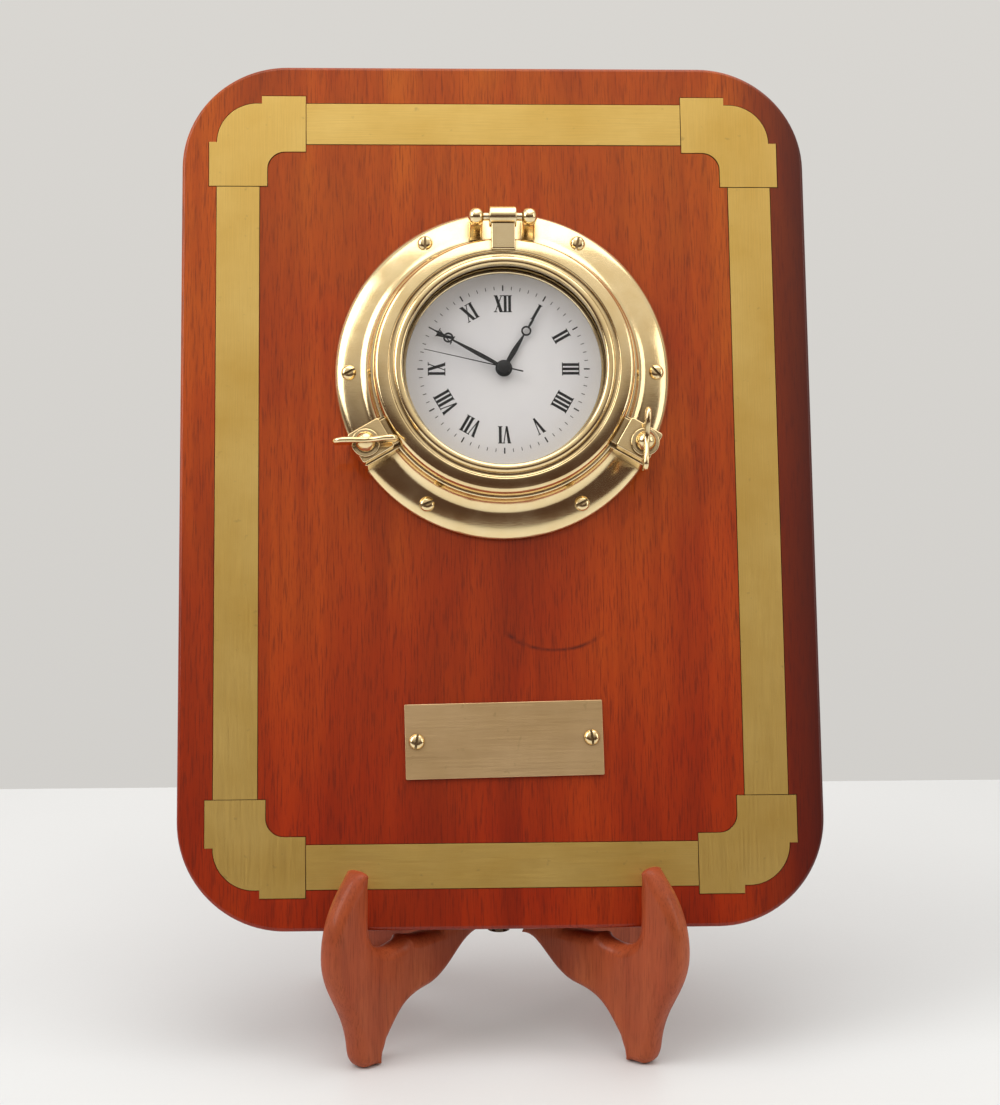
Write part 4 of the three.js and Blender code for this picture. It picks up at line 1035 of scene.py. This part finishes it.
def thumb_screws():
    for name, side in (("left", -1), ("right", 1)):
        x, y = around(CLAMP_RADIUS, clamp_direction(side))
        rim = Outline(2.3, 0)
        rim.line((WASHER_RADIUS - 0.2, 0), (WASHER_RADIUS, 0.2), (WASHER_RADIUS, WASHER_DEPTH - 0.5))
        rim.bend(WASHER_RADIUS, WASHER_DEPTH, WASHER_RADIUS - 0.5, WASHER_DEPTH, 4)
        rim.line((2.3, WASHER_DEPTH))
        washer = moved(turned(rim.points, 64), slide(x, y, WASHER_Z))
        piece(washer, f"washer_{name}_brass", PORTHOLE, f"washer_{name}", "polished_brass",
              [f"thumb_screw_washer_{name}"])
        screw = moved(thumb_screw(), slide(x, y, THUMB_Z) @ turn(WING_TURNS[name], "Z"))
        brass(screw, f"thumb_screw_{name}", f"clamp_{name}")


def thumb_screw():
    """Shank, domed hub and butterfly wing; z = 0 is the face of the washer."""
    hub = Outline(0, -11)
    hub.line((1.6, -11), (2, -10.4), (2, 0.3), (4.4, 0.3))
    hub.bend(4.7, 2.4, 3.6, 4)
    hub.bend(2.6, 5.8, 0, 6)
    wing = Outline(-3, 0.5)
    wing.sweep(-7, 1, -9, 2.2, -WING_HALF + 1, 2.6)
    wing.sweep(-WING_HALF - 1, 5, -WING_HALF, WING_HEIGHT, -WING_HALF + 4, WING_HEIGHT)
    wing.sweep(-6, WING_HEIGHT, -3, 6.5, 0, 6.5)
    wing.sweep(3, 6.5, 6, WING_HEIGHT, WING_HALF - 4, WING_HEIGHT)
    wing.sweep(WING_HALF, WING_HEIGHT, WING_HALF + 1, 5, WING_HALF - 1, 2.6)
    wing.sweep(9, 2.2, 7, 1, 3, 0.5)
    edge = WING_THICK / 2 - 0.15
    plate = rounded_plate(wing.points, -WING_THICK / 2, WING_THICK / 2, edge, edge, 4)
    moved(plate, turn(90, "X"))
    return grouped([turned(hub.points, 48), plate])


# ---- clock insert


def bezel():
    profile = Outline(BEZEL_OPENING, BEZEL_LOW)
    profile.line((BEZEL_RADIUS, BEZEL_LOW), (BEZEL_RADIUS, BEZEL_LOW + 0.8))
    profile.bend(45, BEZEL_LOW + 2, 43.4, BEZEL_LOW + 1.6, 10)
    profile.line((BEZEL_OPENING, BEZEL_LOW + 1.2))
    brass(turned(clean(profile.points)), "insert_bezel")


def stroke(x0, x1, top_x0, top_x1, low, high):
    """A straight pen stroke from its foot (x0 to x1) up to its head."""
    return [(x0, low), (x1, low), (top_x1, high), (top_x0, high)]


def numeral_strokes(text):
    """The strokes of a Roman numeral, drawn upright round x = 0."""
    half = NUMERAL_HEIGHT / 2
    widths = {"I": 1.95, "V": 3.7, "X": 4.0}
    serif = 0.38
    x = -sum(widths[letter] for letter in text) / 2
    strokes = []
    for letter in text:
        width = widths[letter]
        middle = x + width / 2
        if letter == "I":
            strokes.append(rectangle(middle - 0.62, middle + 0.62, -half, half))
            strokes.append(rectangle(middle - 1, middle + 1, -half, -half + serif))
            strokes.append(rectangle(middle - 1, middle + 1, half - serif, half))
        elif letter == "V":
            strokes.append(stroke(middle - 0.4, middle + 0.5, x + 0.1, x + 1.4, -half, half))
            right = x + width
            strokes.append(stroke(middle - 0.1, middle + 0.35, right - 0.75, right - 0.3, -half, half))
            strokes.append(rectangle(x - 0.1, x + 1.5, half - serif, half))
            strokes.append(rectangle(x + width - 1.1, x + width + 0.1, half - serif, half))
        else:
            strokes.append(stroke(x + width - 1.5, x + width - 0.1, x + 0.1, x + 1.5, -half, half))
            strokes.append(stroke(x + 0.3, x + 0.75, x + width - 0.85, x + width - 0.4, -half, half))
            for low in (-half, half - serif):
                strokes.append(rectangle(x - 0.1, x + 1.4, low, low + serif))
                strokes.append(rectangle(x + width - 1.4, x + width + 0.1, low, low + serif))
        x += width
    return strokes


def printed(outlines):
    """Thin ink, a little above the dial."""
    low = DIAL_FRONT + 0.01
    return grouped([rounded_plate(o, low, low + PRINT_DEPTH) for o in outlines])


def dial_print():
    numerals = ("XII", "I", "II", "III", "IIII", "V", "VI", "VII", "VIII", "IX", "X", "XI")
    marks = []
    for hour, text in enumerate(numerals):
        ink = moved(printed(numeral_strokes(text)), turn(-30 * hour, "Z") @ slide(0, NUMERAL_RADIUS))
        marks.append(ink)
    for minute in range(60):
        major = minute % 5 == 0
        half_width = 0.3 if major else 0.15
        half_length = 1.3 if major else 0.8
        low, high = TICK_RADIUS - half_length, TICK_RADIUS + half_length
        tick = printed([rectangle(-half_width, half_width, low, high)])
        marks.append(moved(tick, turn(-6 * minute, "Z")))
    piece(grouped(marks), "dial_print", PORTHOLE, "plaque", "hand_paint")


def flat_ring(outer, inner, low, high, y=0.0):
    profile = [(inner, low), (outer, low), (outer, high), (inner, high)]
    return moved(turned(profile, 40), slide(0, y))


def pierced_hand(eye, tip, belly, belly_width, hub):
    """A leaf-shaped hand along +y with a ring near its end and a fine point beyond it."""
    ring = 2.25
    leaf = Outline(-0.45, 0)
    leaf.bend(-belly_width / 2, belly * 0.55, -belly_width / 2, belly)
    leaf.bend(-belly_width / 2, belly * 1.3, -0.35, eye - ring + 0.3)
    leaf.line((0.35, eye - ring + 0.3))
    leaf.bend(belly_width / 2, belly * 1.3, belly_width / 2, belly)
    leaf.bend(belly_width / 2, belly * 0.55, 0.45, 0)
    point = Outline(-0.35, eye + ring - 0.3)
    point.bend(-0.85, eye + ring + 1.6, -0.3, eye + ring + 4)
    point.line((-0.1, tip), (0.1, tip), (0.3, eye + ring + 4))
    point.bend(0.85, eye + ring + 1.6, 0.35, eye + ring - 0.3)
    return grouped([
        rounded_plate(leaf.points, 0, HAND_THICK, 0.12, 0, 2),
        rounded_plate(point.points, 0, HAND_THICK, 0.08, 0, 2),
        flat_ring(ring, ring - 0.75, 0, HAND_THICK, eye),
        flat_ring(hub, 1.9, 0, HAND_THICK),
    ])


def hand(made, name, body, angle, height):
    moved(made, turn(-angle, "Z") @ slide(0, 0, height))
    piece(made, f"{name}_hand_black", PORTHOLE, body, "hand_paint", [f"{name}_hand"])


def hands():
    hour = pierced_hand(19.6, 32, 8.5, 2.3, 3.7)
    hand(hour, "hour", "hour", HOUR_ANGLE, HOUR_Z)
    minute = pierced_hand(27.8, 36, 11.5, 1.9, 3.3)
    hand(minute, "minute", "centre", MINUTE_ANGLE, MINUTE_Z)
    needle = Outline(-0.32, -8.6)
    needle.line((0.32, -8.6), (0.24, 0), (0.12, 36), (-0.12, 36), (-0.24, 0))
    cap = Outline(0, 0)
    cap.line((3, 0))
    cap.bend(3, 0.5, 2.3, 0.6, 4)
    cap.line((0, 0.6))
    second = grouped([rounded_plate(needle.points, 0, 0.4, 0.05, 0, 1), turned(cap.points, 40)])
    hand(second, "second", "seconds", SECOND_ANGLE, SECOND_Z)


# ---- stand


def leaf_outline():
    """Side outline of a whole leaf: x forward from the pivot, y up."""
    slope = math.tan(LEAN) / math.cos(math.radians(LEAF_TURN))

    def front(z):
        return 36.4 - (z - 51.5) * slope

    def rear(z):
        return front(z) - LEAF_THICK * math.tan(math.radians(LEAF_TURN))

    o = Outline(74, 0)
    o.line((81, 0))
    o.bend(85.8, 1, 86.6, 8)
    o.sweep(88.5, 27, 99.5, 33, 101, 49)
    o.sweep(102, 66, 93, 79, 84.5, 86)
    o.bend(80, 88.5, 79.2, 83)
    o.sweep(78.4, 72, 79.6, 66, 78.8, 59)
    o.sweep(77, 52, 71, 49.8, 66, 49.8)
    o.bend(60, 50.2, 55.5, 52.6)
    o.line((48.8, 51.1), (36.6, 51.1), (front(92), 92))
    o.bend(front(102), 102, 0, 102)
    o.line((rear(104), 104), (rear(152), 152))
    o.bend(rear(163), 163, -31, 163)
    o.bend(-35, 162, -36, 153)
    o.sweep(-38, 112, -56, 64, -80, 43)
    o.sweep(-95, 31, -99, 16, -97, 6)
    o.bend(-95.5, 1, -92, 0)
    o.line((-84, 0))
    o.bend(-78, 1, -75, 7)
    o.sweep(-66, 22, -60, 25, -48, 26.5)
    o.sweep(-32, 29, -26, 43, -12, 44.5)
    o.bend(-4, ARCH_TOP, 0, ARCH_TOP)
    o.bend(4, ARCH_TOP, 12, 44.5)
    o.sweep(24, 43, 29, 29, 44, 26.8)
    o.sweep(58, 25, 61, 20, 68.5, 10)
    o.bend(71, 3, 74, 0)
    return clean(o.points)


def crossing(a, b, axis, value):
    t = (value - a[axis]) / (b[axis] - a[axis])
    return (a[0] + t * (b[0] - a[0]), a[1] + t * (b[1] - a[1]))


def half_of(points, sign):
    """The part of an outline with sign * x above zero."""
    kept = []
    for a, b in zip(points, points[1:] + points[:1]):
        if sign * a[0] >= 0:
            kept.append(a)
        if (sign * a[0] >= 0) != (sign * b[0] >= 0):
            kept.append(crossing(a, b, 0, 0.0))
    return clean(kept)


def relieved(points, sign, lower_kept):
    """Cuts away the crossing's relief: above the split, or below it."""
    side = -1 if lower_kept else 1
    shoulder = KNUCKLE_SPLIT + side * LEAF_HALF_GAP

    def removed(p):
        return sign * p[0] < CROSSING_RELIEF and side * (p[1] - shoulder) < 0

    count = len(points)
    start = next(i for i in range(count) if removed(points[i]) and not removed(points[i - 1]))
    ring = [points[(start + i) % count] for i in range(count)]
    inside = next(i for i in range(count) if not removed(ring[i]))
    corner = (sign * CROSSING_RELIEF, shoulder)

    def edge_point(kept, gone):
        if sign * kept[0] >= CROSSING_RELIEF:
            return crossing(kept, gone, 0, sign * CROSSING_RELIEF)
        return crossing(kept, gone, 1, shoulder)

    entering = edge_point(ring[-1], ring[0])
    leaving = edge_point(ring[inside], ring[inside - 1])
    return clean([entering, corner, leaving] + ring[inside:])


def stand_leaf(name, side):
    is_lower = side < 0
    near, far = (LEAF_HALF_GAP, LEAF_THICK) if is_lower else (-LEAF_THICK, -LEAF_HALF_GAP)
    whole = leaf_outline()
    front = spaced(relieved(half_of(whole, 1), 1, is_lower), LEAF_EDGE_STEP)
    rear = spaced(relieved(half_of(whole, -1), -1, is_lower), LEAF_EDGE_STEP)
    wood = rounded_plate(front, near, far, LEAF_EDGE, LEAF_EDGE)
    back_half = rounded_plate(rear, -far, -near, LEAF_EDGE, LEAF_EDGE)
    if is_lower:
        low, high = ARCH_TOP + 0.5, KNUCKLE_SPLIT - LEAF_HALF_GAP
    else:
        low, high = KNUCKLE_SPLIT + LEAF_HALF_GAP, STAND_KNUCKLE_TOP
    knuckle = moved(barrel(STAND_KNUCKLE_RADIUS, low, high, 1, 64), turn(-90, "X"))
    look = "stand_wood" if is_lower else "stand_wood_right"
    piece(grouped([wood, back_half, knuckle]), f"stand_leaf_{name}_wood", leaf_frame(side),
          f"stand_{name}", look, [f"stand_leaf_{name}"], "stand_wood", level=True)


# ---- CAD pieces that stay


def finish_cad_nodes():
    """Gives every CAD node its material, and a few of the ones still shown slightly rounded edges."""
    slots = {entry["node"]: entry["material_slot"] for entry in frame["record"]["subparts"]}
    wrap = battery_wrap()
    rounded = {"movement_case": 0.6, "movement_back_cover": 0.4, "battery": 0.4, "contact_positive": 0.3,
               "contact_negative": 0.3, "setting_knob": 0.3, "insert_case": 0.25, "stand_pivot_pin": 0.4}
    for name, node in NODES.items():
        node.data.materials.clear()
        # The pivot pin gets the near-black look: painted shadow between the leaves.
        own = {"battery": wrap, "stand_pivot_pin": LOOKS["painted_shadow_pin"]}
        node.data.materials.append(own.get(name, LOOKS[slots[name]]))
        if name in rounded:
            bevel = node.modifiers.new("bevel", "BEVEL")
            bevel.width = rounded[name] * MM
            bevel.segments = 2
            bevel.limit_method = "ANGLE"
            bevel.angle_limit = math.radians(BEVEL_ANGLE)


# ---- room


def table():
    outline = rectangle(-TABLE_HALF_WIDTH, TABLE_HALF_WIDTH, TABLE_FRONT_Y, TABLE_BACK_Y)
    corners = [(x, y, 0) for x, y in outline]
    below = [(x, y, -TABLE_THICK) for x, y in outline]
    faces = [(0, 1, 2, 3), (7, 6, 5, 4), (0, 4, 5, 1), (1, 5, 6, 2), (2, 6, 7, 3), (3, 7, 4, 0)]
    floor = solid(corners + below, faces)
    floor.name = "table"
    floor.data.materials.append(table_top())


def room_light():
    """A pale room that is brighter overhead and warmer and darker low down in front."""
    world = bpy.data.worlds.new("room")
    world.use_nodes = True
    bpy.context.scene.world = world
    s = Nodes(world.node_tree)
    direction = s.parts(s.add("ShaderNodeTexCoord").outputs["Generated"])
    height = s.range(direction["Z"], -1, 1)
    front = s.colours(
        height,
        (0.42, (0.2, 0.13, 0.1)),
        (0.52, (0.08, 0.045, 0.035)),
        (0.65, (0.1, 0.07, 0.06)),
        (0.73, (0.45, 0.4, 0.35)),
        (0.79, (0.73, 0.67, 0.59)),
        (0.9, (0.9, 0.85, 0.78)),
    )
    back = s.colours(height, (0.3, (0.62, 0.605, 0.58)), (0.6, (0.71, 0.69, 0.655)))
    room = s.mix(s.range(direction["Y"], -0.35, 0.25), front, back)
    s.fill(s.tree.nodes["Background"], Color=room)


def softbox(name, place, target, width, height, power, colour):
    light = bpy.data.lights.new(name, "AREA")
    light.shape = "RECTANGLE"
    light.size = width
    light.size_y = height
    light.energy = power
    light.color = colour
    lamp = bpy.data.objects.new(name, light)
    bpy.context.scene.collection.objects.link(lamp)
    lamp.location = place
    lamp.rotation_euler = (Vector(target) - Vector(place)).to_track_quat("-Z", "Y").to_euler()


def lights():
    softbox("window_left", (-1.5, -0.7, 1.3), (0, 0, 0.2), 1.2, 1.4, 16, (1, 0.985, 0.96))
    softbox("ceiling", (0.2, -0.2, 2.1), (0, 0, 0.2), 2.2, 1.6, 20, (1, 0.99, 0.97))
    softbox("fill_right", (1.7, -0.9, 0.9), (0, 0, 0.25), 0.9, 1.2, 6, (1, 0.97, 0.93))


def camera():
    made = bpy.data.objects.new("camera", bpy.data.cameras.new("camera"))
    bpy.context.scene.collection.objects.link(made)
    made.data.lens = CAMERA_LENS
    made.data.sensor_width = SENSOR_WIDTH
    made.location = CAMERA_PLACE
    made.rotation_mode = "XYZ"
    aim = turn(-CAMERA_AZIMUTH, "Z") @ turn(90 + CAMERA_PITCH, "X") @ turn(CAMERA_ROLL, "Z")
    made.rotation_euler = aim.to_euler()
    bpy.context.scene.camera = made


camera()
table()
room_light()
lights()
bpy.context.scene.view_settings.view_transform = "Standard"
board()
inlay()
name_plate()
porthole_base()
flange_screws()
hinge_pin()
porthole_door()
thumb_screws()
bezel()
dial_print()
hands()
stand_leaf("left", -1)
stand_leaf("right", 1)
finish_cad_nodes()
